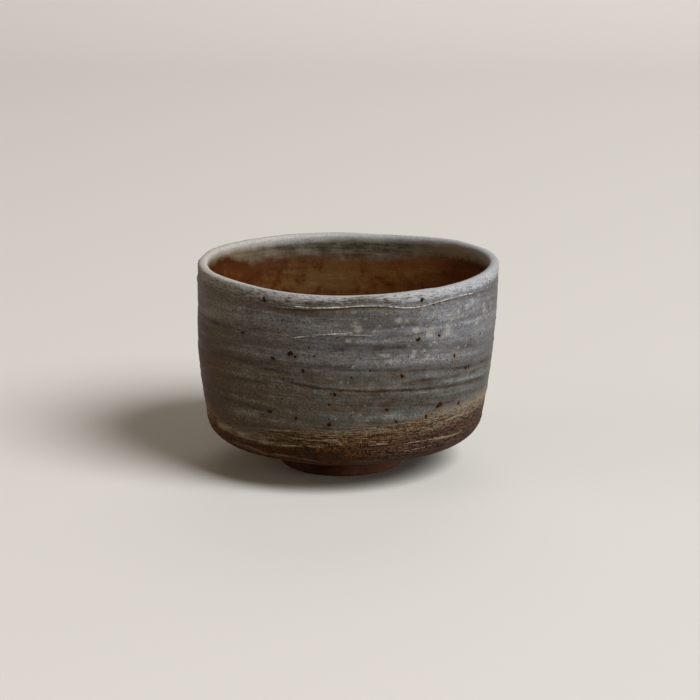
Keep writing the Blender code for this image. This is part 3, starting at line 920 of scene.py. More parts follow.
# Section of the foot: round the outer edge, along the base, up the bore, across the top, down the outside
def footSection():
    look = footRing
    edge = look["edge"]
    outer, bore = footRadius, footRadius - look["width"]
    topOuter, topBore = outer - look["taper"], bore - look["taper"]
    top = clay["footHeight"] - look["topGap"]
    bend = np.linspace(0, math.pi / 2, look["edgeSteps"])
    rise = np.linspace(0, 1, look["sideSteps"])
    along = np.linspace(0, 1, look["baseSteps"] + 1)[1:-1]
    over = np.linspace(0, 1, look["topSteps"])[1:-1]
    section = [(outer - edge + edge * math.cos(a), edge - edge * math.sin(a)) for a in bend]
    section += [(between(outer - edge, bore + edge, n), 0) for n in along]
    section += [(bore + edge - edge * math.sin(a), edge - edge * math.cos(a)) for a in bend]
    section += [(between(bore, topBore, n), between(edge, top, n)) for n in rise[1:]]
    section += [(between(topBore, topOuter, n), top) for n in over]
    section += [(between(topOuter, outer, n), between(top, edge, n)) for n in rise[:-1]]
    return np.array(section)


def footRingPiece():
    section = footSection()
    turn = turnRows(footRing["columns"], len(section))
    ahead = np.roll(section, -1, 0) - np.roll(section, 1, 0)
    outward, upward = np.stack([-ahead[:, 1], ahead[:, 0]]) / np.hypot(ahead[:, 0], ahead[:, 1])
    along = np.cumsum(np.hypot(*(section - np.roll(section, 1, 0)).T))
    way = np.broadcast_to(along[:, None], turn.shape)
    relief = fieldSum(turn, way, footRing["relief"]) * mm
    radius = section[:, :1] + outward[:, None] * relief
    level = np.maximum(section[:, 1:] + upward[:, None] * relief, 0)
    # painted shade on the left of the foot
    paintedFootShade = stretch(turn, *footRing["paintedFootShade"])
    ringLine = 0.5 + fieldSum(turn, way, footRing["lines"])
    marks = dict(paintedFootShade=paintedFootShade[::-1], ringLine=ringLine[::-1])
    return gridPiece("footRing", byHand(radius, turn, level)[::-1], marks, loop=True)


lutingSlip = dict(
    columns=240,
    steps=10,
    rise=0.15 * mm,
    depth=1.3 * mm,
    tuck=0.2 * mm,
    swell=0.7 * mm,
    swellFields=[(0.45, 21, mm, 81), (0.25, 57, mm, 82)],
    smear=[(1.0, 40, mm, 83)],
)


# The slip squeezed out of the joint stands as a small uneven fillet on both sides of the foot
def lutingSlipPiece():
    look = lutingSlip
    top = clay["footHeight"] + look["rise"]
    foot = clay["footHeight"] - look["depth"]
    outer = footRadius - footRing["taper"]
    inner = outer - footRing["width"]
    turn = turnRows(look["columns"], 2 * look["steps"])
    bend = np.linspace(-math.pi / 2, math.pi / 2, look["steps"])[:, None]
    swell = look["swell"] * (1 + fieldSum(turn[:1], 0, look["swellFields"])) * np.cos(bend) - look["tuck"]
    rise = np.broadcast_to((top + foot) / 2 + (top - foot) / 2 * np.sin(bend), swell.shape)
    radius = np.concatenate([outer + swell, inner - swell])
    level = np.concatenate([rise, rise[::-1]])
    marks = dict(smear=fieldSum(turn, level, look["smear"]))
    return gridPiece("lutingSlip", byHand(radius, turn, level), marks, loop=True)


ironSpecks = dict(
    sides=16,
    ringShares=(1.0, 0.7, 0.35),
    lobes=((2, 0.22), (3, 0.14), (5, 0.06)),
    stretch=(0.75, 1.25),
    grow=1.4,
    dome=0.12 * mm,
    edge=0.005 * mm,
    shoulder=-0.15 * mm,
    bottom=-0.25 * mm,
    seed=91,
)


# Small fused beads of iron, each a closed lens sunk in the glaze
def ironSpecksPiece():
    look = ironSpecks
    draw = np.random.default_rng(look["seed"])
    around = np.linspace(0, fullTurn, look["sides"], endpoint=False)
    shares = np.array([0, 1, *look["ringShares"], 0])[:, None]
    domed = [look["dome"] * (1 - share * share) + look["edge"] for share in look["ringShares"]]
    rise = np.array([look["bottom"], look["shoulder"], *domed, look["dome"]])[:, None]
    places, faces, rust = [], [], []
    for degrees, speckLevel, size in specks:
        leans = draw.uniform(0, fullTurn, len(look["lobes"]))
        lobes = sum(part * np.cos(count * around + lean) for (count, part), lean in zip(look["lobes"], leans))
        pulled = draw.uniform(*look["stretch"])
        grown = shares * look["grow"] * size * mm / 2 * (1 + lobes)
        level = speckLevel * mm + grown * np.sin(around) / pulled
        turn = math.radians(degrees) + grown * np.cos(around) * pulled / clay["rimRadius"]
        way = wayOutside(level)
        spots = flatGrid(wallPoint(way, turn, glazeLift(turn, way, level) + rise), True)
        faces += lensFaces(len(places), len(shares) - 2, look["sides"])
        places += spots.tolist()
        rust += [draw.random()] * len(spots)
    return newPiece("ironSpecks", places, faces, dict(rust=rust))


def lensFaces(base, loops, sides):
    ring = [[base + 1 + loop * sides + side for side in range(sides)] for loop in range(loops)]
    tip = base + 1 + loops * sides
    faces = []
    for side in range(sides):
        on = (side + 1) % sides
        faces.append((base, ring[0][on], ring[0][side]))
        for low, high in zip(ring, ring[1:]):
            faces.append((low[side], low[on], high[on], high[side]))
        faces.append((ring[-1][side], ring[-1][on], tip))
    return faces


glazeRidges = [
    ridgeStroke(0.75, 0.34, (-113, 78.3), (-106, 78.5), (-96, 78.9), (-85, 79.5), (-76, 78.5),
                (-68, 77.3), (-62, 77), (-52, 78.2), (-46, 78.4), (-34, 77.4)),
    ridgeStroke(0.6, 0.2, (-112, 65.4), (-105, 66.9), (-96, 68.2), (-85, 69.1)),
]
slipRidges = [
    ridgeStroke(0.55, 0.18, (-118, 20.1), (-111, 21.3), (-107, 21.4)),
    ridgeStroke(0.55, 0.18, (-105, 21.7), (-101, 22), (-96, 21.7)),
    ridgeStroke(0.5, 0.14, (-123, 17.2), (-111, 16.4), (-97, 15)),
    ridgeStroke(0.5, 0.16, (-81, 22.6), (-71, 22.6)),
    ridgeStroke(0.5, 0.18, (-69, 21.7), (-56, 21.7), (-43, 21.6)),
    ridgeStroke(0.5, 0.12, (-68, 18.5), (-58, 18.9), (-48, 19.2)),
]
ridge = dict(
    step=0.35 * mm,
    across=9,
    sink=0.3 * mm,
    skirt=0.05 * mm,
    fade=5.0,
    whole=0.8,
    torn=((0.35, 300), (0.3, 90)),
    sway=(0.12, 130),
    limits=(0.05, 1.3),
)


def ridgePiece(name, lines, liftAt, seed):
    side = np.linspace(-1, 1, ridge["across"])
    loop = np.r_[side, 0.5, -0.5]  # over the crest, and back under it
    crest = np.r_[1 - side * side, 0, 0]
    under = np.r_[0 * side, 1, 1]
    size = len(loop)
    places, faces, crests = [], [], []
    for line in lines:
        degrees, levels = smoothPath(line["path"])
        count = int(math.radians(degrees[-1] - degrees[0]) * clay["rimRadius"] / ridge["step"])
        here = np.linspace(degrees[0], degrees[-1], count)[:, None]
        turn = np.radians(here)
        torn, tears, sway = [
            strength * wander(turn, 0, cells, mm, seed + number)
            for number, (strength, cells) in enumerate([*ridge["torn"], ridge["sway"]])
        ]
        ends = smooth((here - degrees[0]) / ridge["fade"]) * smooth((degrees[-1] - here) / ridge["fade"])
        strong = (ends * (ridge["whole"] + torn + tears)).clip(*ridge["limits"])
        middle = np.interp(here, degrees, levels) + sway
        level = (middle + loop * line["width"] / 2 * (0.5 + 0.5 * strong)) * mm
        turn = np.broadcast_to(turn, level.shape)
        way = wayOutside(level)
        rise = crest * strong * line["rise"] * mm - ridge["skirt"] - under * ridge["sink"]
        base = len(places)
        places += wallPoint(way, turn, liftAt(turn, way, level) + rise).reshape(-1, 3).tolist()
        crests += (crest * strong).ravel().tolist()
        for row in range(base, base + (count - 1) * size, size):
            for column in range(size):
                one, two = row + column, row + (column + 1) % size
                faces.append((one, one + size, two + size, two))
        faces.append(tuple(range(base, base + size)))
        faces.append(tuple(range(base + count * size - 1, base + (count - 1) * size - 1, -1)))
    return newPiece(name, places, faces, dict(crest=crests))


def glazeLift(turn, way, level):
    return skin + throwing(turn, way, level)[0]


def slipLift(turn, way, level):
    return slipSkin + hipRelief(turn, way, level)[0] * mm


# Helpers for shader trees
def tint(code):
    parts = [int(code[n:n + 2], 16) / 255 for n in (0, 2, 4)]
    return (*[part / 12.92 if part < 0.04045 else ((part + 0.055) / 1.055) ** 2.4 for part in parts], 1)


def link(tree, value, socket):
    if isinstance(value, bpy.types.NodeSocket):
        tree.links.new(value, socket)
    else:
        socket.default_value = value


def mixTint(tree, share, under, over, way="MIX"):
    mix = tree.nodes.new("ShaderNodeMix")
    mix.data_type = "RGBA"
    mix.blend_type = way
    for value, number in ((share, 0), (under, 6), (over, 7)):
        link(tree, value, mix.inputs[number])
    return mix.outputs[2]


# Colour with further colours laid over it, each by its share
def overlaid(tree, colour, *layers):
    for share, over in layers:
        colour = mixTint(tree, share, colour, over)
    return colour


def calc(tree, operation, first, second=0.0, clamp=False):
    step = tree.nodes.new("ShaderNodeMath")
    step.operation = operation
    step.use_clamp = clamp
    link(tree, first, step.inputs[0])
    link(tree, second, step.inputs[1])
    return step.outputs[0]


def times(tree, first, second):
    return calc(tree, "MULTIPLY", first, second)


def total(tree, *parts, clamp=False):
    result = parts[0]
    for part in parts[1:]:
        result = calc(tree, "ADD", result, part, clamp)
    return result


def centred(tree, mask, weight):
    return times(tree, calc(tree, "SUBTRACT", mask, 0.5), weight)


# Sum of masks about their middle, each with its weight
def leaning(tree, masks, **weights):
    return total(tree, *[centred(tree, masks[name], weight) for name, weight in weights.items()])


def ramp(tree, value, low, high, toLow=0.0, toHigh=1.0, shape="SMOOTHSTEP"):
    step = tree.nodes.new("ShaderNodeMapRange")
    step.interpolation_type = shape
    for number, entry in enumerate((value, low, high, toLow, toHigh)):
        link(tree, entry, step.inputs[number])
    return step.outputs[0]


# A mask that runs evenly between two values
def spread(tree, mask, toLow, toHigh):
    return ramp(tree, mask, 0.0, 1.0, toLow, toHigh, "LINEAR")


def mark(tree, name):
    attribute = tree.nodes.new("ShaderNodeAttribute")
    attribute.attribute_name = name
    return attribute.outputs["Fac"]


# Sum of marks, each with its weight
def marked(tree, **weights):
    return total(tree, *[times(tree, mark(tree, name), weight) for name, weight in weights.items()])


def place(tree):
    return tree.nodes.new("ShaderNodeTexCoord").outputs["Object"]


def noiseOf(tree, where, scale, detail, roughness):
    noise = tree.nodes.new("ShaderNodeTexNoise")
    for label, value in (("Vector", where), ("Scale", scale), ("Detail", detail), ("Roughness", roughness)):
        link(tree, value, noise.inputs[label])
    return noise.outputs["Fac"]


# Group with a place, numbers with their usual values, colours, and one output
def newGroup(name, numbers, colours=(), output=("Mask", "Float")):
    group = bpy.data.node_groups.new(name, "ShaderNodeTree")
    group.interface.new_socket("Place", in_out="INPUT", socket_type="NodeSocketVector")
    for label, value in numbers.items():
        socket = group.interface.new_socket(label, in_out="INPUT", socket_type="NodeSocketFloat")
        socket.default_value = value
    for label in colours:
        group.interface.new_socket(label, in_out="INPUT", socket_type="NodeSocketColor")
    group.interface.new_socket(output[0], in_out="OUTPUT", socket_type="NodeSocket" + output[1])
    return group, group.nodes.new("NodeGroupInput").outputs, group.nodes.new("NodeGroupOutput").inputs[0]


def useGroup(tree, group, **values):
    used = tree.nodes.new("ShaderNodeGroup")
    used.node_tree = group
    for label, value in values.items():
        link(tree, value, used.inputs[label])
    return used.outputs[0]


def contrasted(tree, noise, contrast):
    return total(tree, centred(tree, noise, contrast), 0.5, clamp=True)


# Cloudy change of the glaze
def kilnMottleGroup():
    group, given, out = newGroup("kilnMottle", {"Cell": 0.008, "Contrast": 1.5, "Detail": 5.0})
    noise = noiseOf(group, given["Place"], calc(group, "DIVIDE", 1.0, given["Cell"]), given["Detail"], 0.62)
    link(group, contrasted(group, noise, given["Contrast"]), out)
    return group


# Fine lines that run round the bowl in the tilted planes of the rings
def throwStreaksGroup():
    group, given, out = newGroup("throwStreaks", {"Long": 0.03, "Tall": 0.001, "Contrast": 2.0})
    slope, high = -rings["tilt"] / clay["rimRadius"], rings["highTurn"]
    level = group.nodes.new("ShaderNodeVectorMath")
    level.operation = "DOT_PRODUCT"
    link(group, given["Place"], level.inputs[0])
    level.inputs[1].default_value = (slope * math.cos(high), slope * math.sin(high), 1.0)
    apart = group.nodes.new("ShaderNodeSeparateXYZ")
    link(group, given["Place"], apart.inputs[0])
    pulled = group.nodes.new("ShaderNodeCombineXYZ")
    parts = ((apart.outputs[0], "Long"), (apart.outputs[1], "Long"), (level.outputs["Value"], "Tall"))
    for number, (part, length) in enumerate(parts):
        link(group, calc(group, "DIVIDE", part, given[length]), pulled.inputs[number])
    noise = noiseOf(group, pulled.outputs[0], 1.0, 3.0, 0.65)
    link(group, contrasted(group, noise, given["Contrast"]), out)
    return group


# Scattered round spots, each cell of the scatter with its own size
def scatterSpotsGroup():
    group, given, out = newGroup("scatterSpots", {"Cell": 0.003, "Spot": 0.35, "Share": 0.5, "Soft": 0.4})
    cells = group.nodes.new("ShaderNodeTexVoronoi")
    link(group, given["Place"], cells.inputs["Vector"])
    link(group, calc(group, "DIVIDE", 1.0, given["Cell"]), cells.inputs["Scale"])
    pick = group.nodes.new("ShaderNodeSeparateColor")
    link(group, cells.outputs["Color"], pick.inputs[0])
    grown = times(group, given["Spot"], total(group, 0.45, times(group, pick.outputs[1], 0.55)))
    core = times(group, grown, calc(group, "SUBTRACT", 1.0, given["Soft"]))
    chosen = calc(group, "LESS_THAN", pick.outputs[0], given["Share"])
    link(group, times(group, ramp(group, cells.outputs["Distance"], grown, core), chosen), out)
    return group


# A border that crumbles into grains; the distance to it is in millimetres
def crumbledEdgeGroup():
    group, given, out = newGroup("crumbledEdge", {"Distance": 0.0, "Crumb": 0.001, "Reach": 1.5, "Soft": 0.6})
    grain = noiseOf(group, given["Place"], calc(group, "DIVIDE", 1.0, given["Crumb"]), 4.0, 0.7)
    moved = total(group, given["Distance"], centred(group, grain, times(group, given["Reach"], 4.0)))
    link(group, ramp(group, moved, times(group, given["Soft"], -1.0), given["Soft"]), out)
    return group


kilnMottle = kilnMottleGroup()
throwStreaks = throwStreaksGroup()
scatterSpots = scatterSpotsGroup()
crumbledEdge = crumbledEdgeGroup()


# Entries for the masks of a look, with lengths in millimetres
def mottle(cell, contrast, detail=5.0):
    return kilnMottle, dict(Cell=cell * mm, Contrast=contrast, Detail=detail)


def streaks(long, tall, contrast):
    return throwStreaks, dict(Long=long * mm, Tall=tall * mm, Contrast=contrast)


def spots(cell, spot, share, soft=0.5):
    return scatterSpots, dict(Cell=cell * mm, Spot=spot, Share=share, Soft=soft)


def masksOf(tree, where, look):
    masks = {}
    for name, (group, values) in look["masks"].items():
        masks[name] = useGroup(tree, group, Place=where, **values)
    return masks


def crumbled(tree, where, distance, crumb, reach, soft):
    values = dict(Distance=distance, Crumb=crumb * mm, Reach=reach, Soft=soft)
    return useGroup(tree, crumbledEdge, Place=where, **values)


trimBorderLook = dict(
    ochre=tint("847b6d"),
    gold=tint("6f5332"),
    amber=tint("7d5725"),
    brown=tint("36261a"),
    straw=tint("8b8275"),
    ash=tint("b9af9b"),
    masks=dict(
        dash=streaks(3.0, 0.5, 4.0),
        long=streaks(14, 0.9, 3.2),
        sand=mottle(0.75, 3.0, 2.0),
        blot=mottle(2.6, 3.0, 3.0),
        pepper=spots(1.3, 0.34, 0.45),
    ),
)


# Grey glaze, then a golden zone of dashes and grains, then the brown slip
def trimBorderGroup():
    look = trimBorderLook
    numbers = {"Grey Up": 0.0, "Brown Up": 0.0, "Line": 0.0, "Grainy": 0.5, "Amber": 0.0}
    group, given, out = newGroup("trimBorder", numbers, ("Grey", "Brown"), ("Colour", "Color"))
    where = given["Place"]
    masks = masksOf(group, where, look)
    lined = total(group, 0.5, leaning(group, masks, dash=0.9, long=0.6, sand=0.6))
    grains = total(group, 0.6, leaning(group, masks, dash=0.55, sand=0.7))
    raised = ramp(group, given["Grey Up"], -6.0, 1.0, -0.1, 0.2)
    shade = total(group, spread(group, given["Grainy"], lined, grains), raised)
    warm = mixTint(group, given["Grainy"], look["gold"], look["ochre"])
    amber = ramp(group, total(group, leaning(group, masks, blot=1.0), given["Amber"]), 0.15, 0.7, 0.0, 0.9)
    warm = mixTint(group, amber, warm, look["amber"])
    golden = overlaid(
        group, look["brown"],
        (ramp(group, shade, 0.1, 0.6), warm),
        (ramp(group, shade, 0.6, 1.1, 0.0, 0.75), look["straw"]),
        (times(group, masks["pepper"], 0.7), look["brown"]),
    )
    jitter = leaning(group, masks, dash=2.4)
    lower = crumbled(group, where, total(group, given["Brown Up"], jitter), 0.9, 1.8, 1.4)
    upper = crumbled(group, where, total(group, given["Grey Up"], jitter), 0.8, 2.4, 2.2)
    line = times(group, given["Line"], spread(group, masks["sand"], 0.5, 1.2))
    colour = overlaid(
        group, given["Brown"],
        (lower, golden),
        (ramp(group, line, 0.1, 1.0, 0.0, 0.8), look["straw"]),
        (ramp(group, line, 1.0, 1.9, 0.0, 0.9), look["ash"]),
        (ramp(group, line, -0.1, -1.0, 0.0, 0.85), look["brown"]),
        (upper, given["Grey"]),
    )
    link(group, colour, out)
    return group


trimBorder = trimBorderGroup()
print("shader groups ready")


borderSockets = {
    "Grey Up": "greyUp",
    "Brown Up": "brownUp",
    "Line": "trimLine",
    "Grainy": "grainy",
    "Amber": "amber",
}


def borderColour(tree, where, grey, brown):
    given = {label: mark(tree, name) for label, name in borderSockets.items()}
    return useGroup(tree, trimBorder, Place=where, Grey=grey, Brown=brown, **given)


def newMaterial(name):
    material = bpy.data.materials.new(name)
    material.use_nodes = True
    tree = material.node_tree
    return material, tree, tree.nodes["Principled BSDF"]


def finishShader(tree, shader, look, colour, roughness, height):
    raised = tree.nodes.new("ShaderNodeBump")
    for label, value in (("Strength", look["bump"]), ("Distance", look["bumpDepth"]), ("Height", height)):
        link(tree, value, raised.inputs[label])
    shader.inputs["Specular IOR Level"].default_value = look["gloss"]
    for label, value in (("Base Color", colour), ("Roughness", roughness), ("Normal", raised.outputs[0])):
        link(tree, value, shader.inputs[label])


linerLook = dict(
    rust=tint("613210"),
    ochre=tint("5f4626"),
    straw=tint("79603a"),
    dark=tint("43220d"),
    grey=tint("665e51"),
    umber=tint("3b3022"),
    # lighter olive tones: painted light on the shaded right inside
    paintedLitOlive=tint("9c8560"),
    paintedLitPaleOlive=tint("807c74"),
    sienna=tint("7a4520"),
    beige=tint("7d6d54"),
    masks=dict(
        cloud=mottle(13, 3.0),
        blotch=mottle(5, 3.0, 3.0),
        grain=mottle(1.3, 2.4),
        streak=streaks(18, 2.6, 3.4),
        run=streaks(3.0, 18, 3.0),
        pepper=spots(1.8, 0.25, 0.35),
        greyStreak=streaks(22, 2.0, 2.6),
        greyCloud=mottle(6, 2.4, 3.0),
    ),
    gloss=0.12,
    bump=0.25,
    bumpDepth=0.25 * mm,
)


# The thin grey inside the lip, the same in both glazes where they meet; on the right, where the inside lies
# in shade, it is painted lighter as painted light
def innerGrey(tree, masks):
    look = linerLook
    shade = total(tree, 0.5, leaning(tree, masks, greyStreak=0.9, greyCloud=0.8))
    dark = mixTint(tree, mark(tree, "paintedLitOlive"), look["umber"], look["paintedLitOlive"])
    light = mixTint(tree, mark(tree, "paintedLitOlive"), look["grey"], look["paintedLitPaleOlive"])
    return overlaid(
        tree, dark,
        (ramp(tree, shade, 0.0, 1.0), light),
        (marked(tree, beige=0.8), look["beige"]),
    )


# The brown inside: rust, ochre and dark clouds, darker with depth and just under the grey
def linerColour(tree, where):
    look = linerLook
    masks = masksOf(tree, where, look)
    side = mark(tree, "rustSide")
    rust = total(tree, 0.06, times(tree, side, -0.12), leaning(tree, masks, cloud=0.6, blotch=0.7))
    patch = total(tree, mark(tree, "ochrePatch"), leaning(tree, masks, cloud=1.0, blotch=1.2))
    broken = leaning(tree, masks, streak=1.0, grain=0.4, run=0.5, blotch=0.6)
    lines = total(tree, mark(tree, "linerLine"), broken)
    farLeft = ramp(tree, side, 0.75, 1.0, 0.0, 0.5)
    dim = total(tree, marked(tree, pool=0.4), marked(tree, deep=0.28), farLeft, clamp=True)
    nearGrey = total(tree, mark(tree, "lapUp"), leaning(tree, masks, blotch=4.0))
    under = ramp(tree, nearGrey, -7.0, -2.5, 0.0, 0.8)
    toSide = calc(tree, "MAXIMUM", ramp(tree, side, 0.4, 1.0, 0.3, 1.0), ramp(tree, side, 0.18, 0.04))
    # the grey ends in a soft cloudy border
    lap = crumbled(tree, where, mark(tree, "lapUp"), 5, 1.6, 2.0)
    colour = overlaid(
        tree, look["dark"],
        (ramp(tree, rust, -0.55, 0.4), look["rust"]),
        (ramp(tree, patch, 0.2, 1.2, 0.0, 0.85), look["ochre"]),
        (ramp(tree, side, 0.6, 0.15, 0.0, 0.55), look["sienna"]),
        (ramp(tree, lines, 0.1, -1.2, 0.0, 0.75), look["dark"]),
        (ramp(tree, lines, 0.3, 1.3, 0.0, 0.5), look["straw"]),
        (dim, look["dark"]),
        (times(tree, masks["pepper"], 0.5), look["dark"]),
        (times(tree, under, toSide), look["dark"]),
        (lap, innerGrey(tree, masks)),
    )
    return colour, masks


ashGlazeLook = dict(
    cool=tint("696869"),
    lowCool=tint("666865"),
    warm=tint("6a5b47"),
    pale=tint("a4a3a1"),
    # pale with a painted cool sheen, for the lit shoulder
    coolPale=tint("a1a4ab"),
    iron=tint("2e2116"),
    # pale lip: its own pale dry glaze with a painted highlight and painted cool key light
    lip=tint("a7a8ac"),
    rim=tint("b3b2b3"),
    # rim band with painted cool light, for the right
    coolRim=tint("c0c2c8"),
    # the lip on the left, with painted warm light
    creamLip=tint("bab3ab"),
    rust=tint("5c3b14"),
    # tint of the painted warm shade low on the far left
    toast=tint("b48a64"),
    spots=tint("b6b3ad"),
    straw=tint("989077"),
    masks=dict(
        cloud=mottle(10, 2.6, 3.0),
        blotch=mottle(3.0, 2.8, 2.0),
        grain=mottle(0.8, 3.6, 1.5),
        broad=streaks(45, 3.4, 3.0),
        streak=streaks(12, 1.0, 3.2),
        hair=streaks(7, 0.5, 3.4),
        hue=streaks(7, 2.2, 3.0),
        fleck=mottle(1.6, 3.0, 2.0),
        crackle=streaks(2.4, 0.5, 4.0),
        dust=spots(1.6, 0.3, 0.08),
        pepper=spots(1.9, 0.28, 0.35),
    ),
    gloss=0.1,
    bump=0.25,
    bumpDepth=0.25 * mm,
)


# Light and dark bands of the throwing, broken up by fine streaks and grain; the right shoulder gets painted
# light, the shaded left a painted shift with more contrast, and the wall is darker towards the bottom
def glazeValue(tree, masks):
    value = total(
        tree,
        times(tree, mark(tree, "tone"), spread(tree, masks["grain"], 0.34, 0.66)),
        leaning(tree, masks, cloud=0.4, blotch=0.45, grain=0.75, broad=0.6, streak=0.25, hair=0.15),
        marked(tree, shoulder=0.3, rimBand=2.0, lowWall=-0.3, leftShade=0.2),
        times(tree, leaning(tree, masks, crackle=1.4), mark(tree, "crust")),
    )
    # more contrast on the shaded left, part of its painted shade
    return times(tree, value, spread(tree, mark(tree, "leftShade"), 1.0, 1.15))


# Grey to brown; dark parts are browner, the shaded left gets painted warm shade and the right shoulder
# painted cool light
def glazeWarmth(tree, masks, value):
    warmth = total(
        tree, 0.25,
        leaning(tree, masks, hue=0.5, fleck=0.4),
        times(tree, value, -0.06),
        marked(tree, warm=1.0, leftShade=0.7, lowWarm=0.25, shoulder=-0.1, grainy=-0.12),
    )
    return calc(tree, "MAXIMUM", calc(tree, "MINIMUM", warmth, 1.3), 0.0)


# Colour of the wall outside, with its dry rim, ash drops and iron; the lit right gets painted cool light, and
# the low far left painted warm shade
def wallColour(tree, masks, value):
    look = ashGlazeLook
    grain, blotch, crackle = [masks[name] for name in ("grain", "blotch", "crackle")]
    cool = mixTint(tree, mark(tree, "lowWall"), look["cool"], look["lowCool"])
    # paler and cooler on the shoulder: partly painted cool key light
    pale = mixTint(tree, mark(tree, "shoulder"), look["pale"], look["coolPale"])
    # the rim band is cooler on the right: painted cool light
    rimTone = mixTint(tree, mark(tree, "grainy"), look["rim"], look["coolRim"])
    dropTone = mixTint(tree, ramp(tree, blotch, 0.5, 0.8), look["spots"], look["straw"])
    cracks = times(tree, ramp(tree, crackle, 0.35, 0.1, 0.0, 0.6), mark(tree, "crust"))
    colour = overlaid(
        tree, cool,
        (glazeWarmth(tree, masks, value), look["warm"]),
        (ramp(tree, value, 0.0, 1.6, 0.0, 0.9, "LINEAR"), pale),
        (ramp(tree, value, 0.0, -1.4, 0.0, 0.9, "LINEAR"), look["iron"]),
        (times(tree, mark(tree, "rimBand"), ramp(tree, crackle, 0.25, 0.62, 0.08, 0.9)), rimTone),
        (times(tree, cracks, ramp(tree, blotch, 0.3, 0.8, 0.2, 1.0)), look["iron"]),
    )
    # painted warm shade: the low far left of the wall is multiplied by a warm tint
    colour = mixTint(tree, mark(tree, "toast"), colour, look["toast"], "MULTIPLY")
    return overlaid(
        tree, colour,
        (times(tree, masks["dust"], 0.4), look["spots"]),
        (times(tree, mark(tree, "drops"), ramp(tree, grain, 0.0, 1.0, 0.5, 0.85)), dropTone),
        (times(tree, masks["pepper"], 0.75), look["iron"]),
        (times(tree, mark(tree, "halo"), spread(tree, grain, 0.5, 1.0)), look["rust"]),
    )


# The lip is pale and dry, and partly a painted highlight; it is cool on the right as painted key light and
# creamier on the left as painted warm light
def paleLip(tree, masks):
    look = ashGlazeLook
    inside = mark(tree, "inside")
    worn = times(tree, leaning(tree, masks, grain=1.0, blotch=1.0), calc(tree, "SUBTRACT", 1.0, inside))
    near = total(tree, mark(tree, "lipDepth"), worn, leaning(tree, masks, cloud=0.5))
    share = ramp(tree, near, spread(tree, inside, 1.4, 1.8), spread(tree, inside, 0.7, 0.2), 0.0, 0.95)
    scuffs = times(tree, ramp(tree, masks["crackle"], 0.1, 0.5, 0.5, 0.0), mark(tree, "crust"))
    tone = overlaid(
        tree, look["lip"],
        # creamier on the left: painted warm light
        (mark(tree, "leftSide"), look["creamLip"]),
        (scuffs, look["cool"]),
        (ramp(tree, masks["grain"], 0.15, 0.7, 0.28, 0.0), look["cool"]),
    )
    return share, tone


def ashGlazeMaterial():
    look = ashGlazeLook
    material, tree, shader = newMaterial("ashGlaze")
    where = place(tree)
    masks = masksOf(tree, where, look)
    value = glazeValue(tree, masks)
    colour = borderColour(tree, where, wallColour(tree, masks, value), slipLook["brown"])
    liner = linerColour(tree, where)[0]
    colour = overlaid(tree, colour, (mark(tree, "inside"), liner), paleLip(tree, masks))
    height = total(
        tree, masks["grain"],
        times(tree, masks["streak"], 0.5),
        times(tree, masks["pepper"], -0.5),
        times(tree, masks["crackle"], marked(tree, crust=2.4)),
    )
    finishShader(tree, shader, look, colour, ramp(tree, value, -1.0, 1.0, 0.42, 0.62), height)
    return material


def linerGlazeMaterial():
    material, tree, shader = newMaterial("linerGlaze")
    colour, masks = linerColour(tree, place(tree))
    roughness = ramp(tree, masks["grain"], 0.0, 1.0, 0.3, 0.5)
    height = total(tree, masks["grain"], times(tree, masks["streak"], 0.5))
    finishShader(tree, shader, linerLook, colour, roughness, height)
    return material


slipLook = dict(
    dark=tint("1e1008"),
    brown=tint("6c4017"),
    ash=tint("6f6a5f"),
    plum=tint("62483a"),
    masks=dict(
        cloud=mottle(9, 2.2),
        grain=mottle(0.8, 4.0, 1.0),
        dash=streaks(3.5, 0.5, 4.0),
        streak=streaks(16, 1.0, 3.4),
    ),
    gloss=0.07,
    bump=0.6,
    bumpDepth=0.35 * mm,
)


def ironSlipMaterial():
    look = slipLook
    material, tree, shader = newMaterial("ironSlip")
    where = place(tree)
    masks = masksOf(tree, where, look)
    shade = total(tree, leaning(tree, masks, cloud=0.5, dash=1.0, streak=0.45, grain=1.1), 0.5, clamp=True)
    brown = mixTint(tree, mark(tree, "plum"), look["brown"], look["plum"])
    colour = borderColour(tree, where, look["ash"], mixTint(tree, shade, look["dark"], brown))
    roughness = ramp(tree, masks["grain"], 0.0, 1.0, 0.5, 0.72)
    height = total(tree, times(tree, masks["grain"], 0.6), masks["streak"])
    finishShader(tree, shader, look, colour, roughness, height)
    return material


bareClayLook = dict(
    red=tint("a06e59"),
    dark=tint("623c2c"),
    sand=tint("bd957a"),
    # tint of the painted shade on the foot
    paintedShadeTint=tint("a8a5a2"),
    masks=dict(
        cloud=mottle(7, 2.2),
        grain=mottle(0.7, 2.6),
        grog=spots(1.1, 0.34, 0.3),
        pits=spots(1.7, 0.22, 0.35, 0.6),
    ),
    gloss=0.05,
    bump=0.6,
    bumpDepth=0.3 * mm,
)


# Bare fired clay: cloudy red brown with grog, sand and small pits
def bareClayMaterial(name, lineMark, lineShare):
    look = bareClayLook
    material, tree, shader = newMaterial(name)
    masks = masksOf(tree, place(tree), look)
    shade = total(tree, times(tree, masks["cloud"], 0.7), times(tree, masks["grain"], 0.35), clamp=True)
    colour = overlaid(
        tree, look["dark"],
        (shade, look["red"]),
        (times(tree, mark(tree, lineMark), lineShare), look["dark"]),
        (times(tree, masks["grog"], 0.5), look["sand"]),
        (times(tree, masks["pits"], 0.7), look["dark"]),
    )
    # painted shade: the foot is darkened on its left
    colour = mixTint(tree, mark(tree, "paintedFootShade"), colour, look["paintedShadeTint"], "MULTIPLY")
    roughness = ramp(tree, masks["grain"], 0.0, 1.0, 0.78, 0.95)
    height = total(tree, masks["grain"], times(tree, masks["grog"], 0.4), times(tree, masks["pits"], -1.0))
    finishShader(tree, shader, look, colour, roughness, height)
    return material


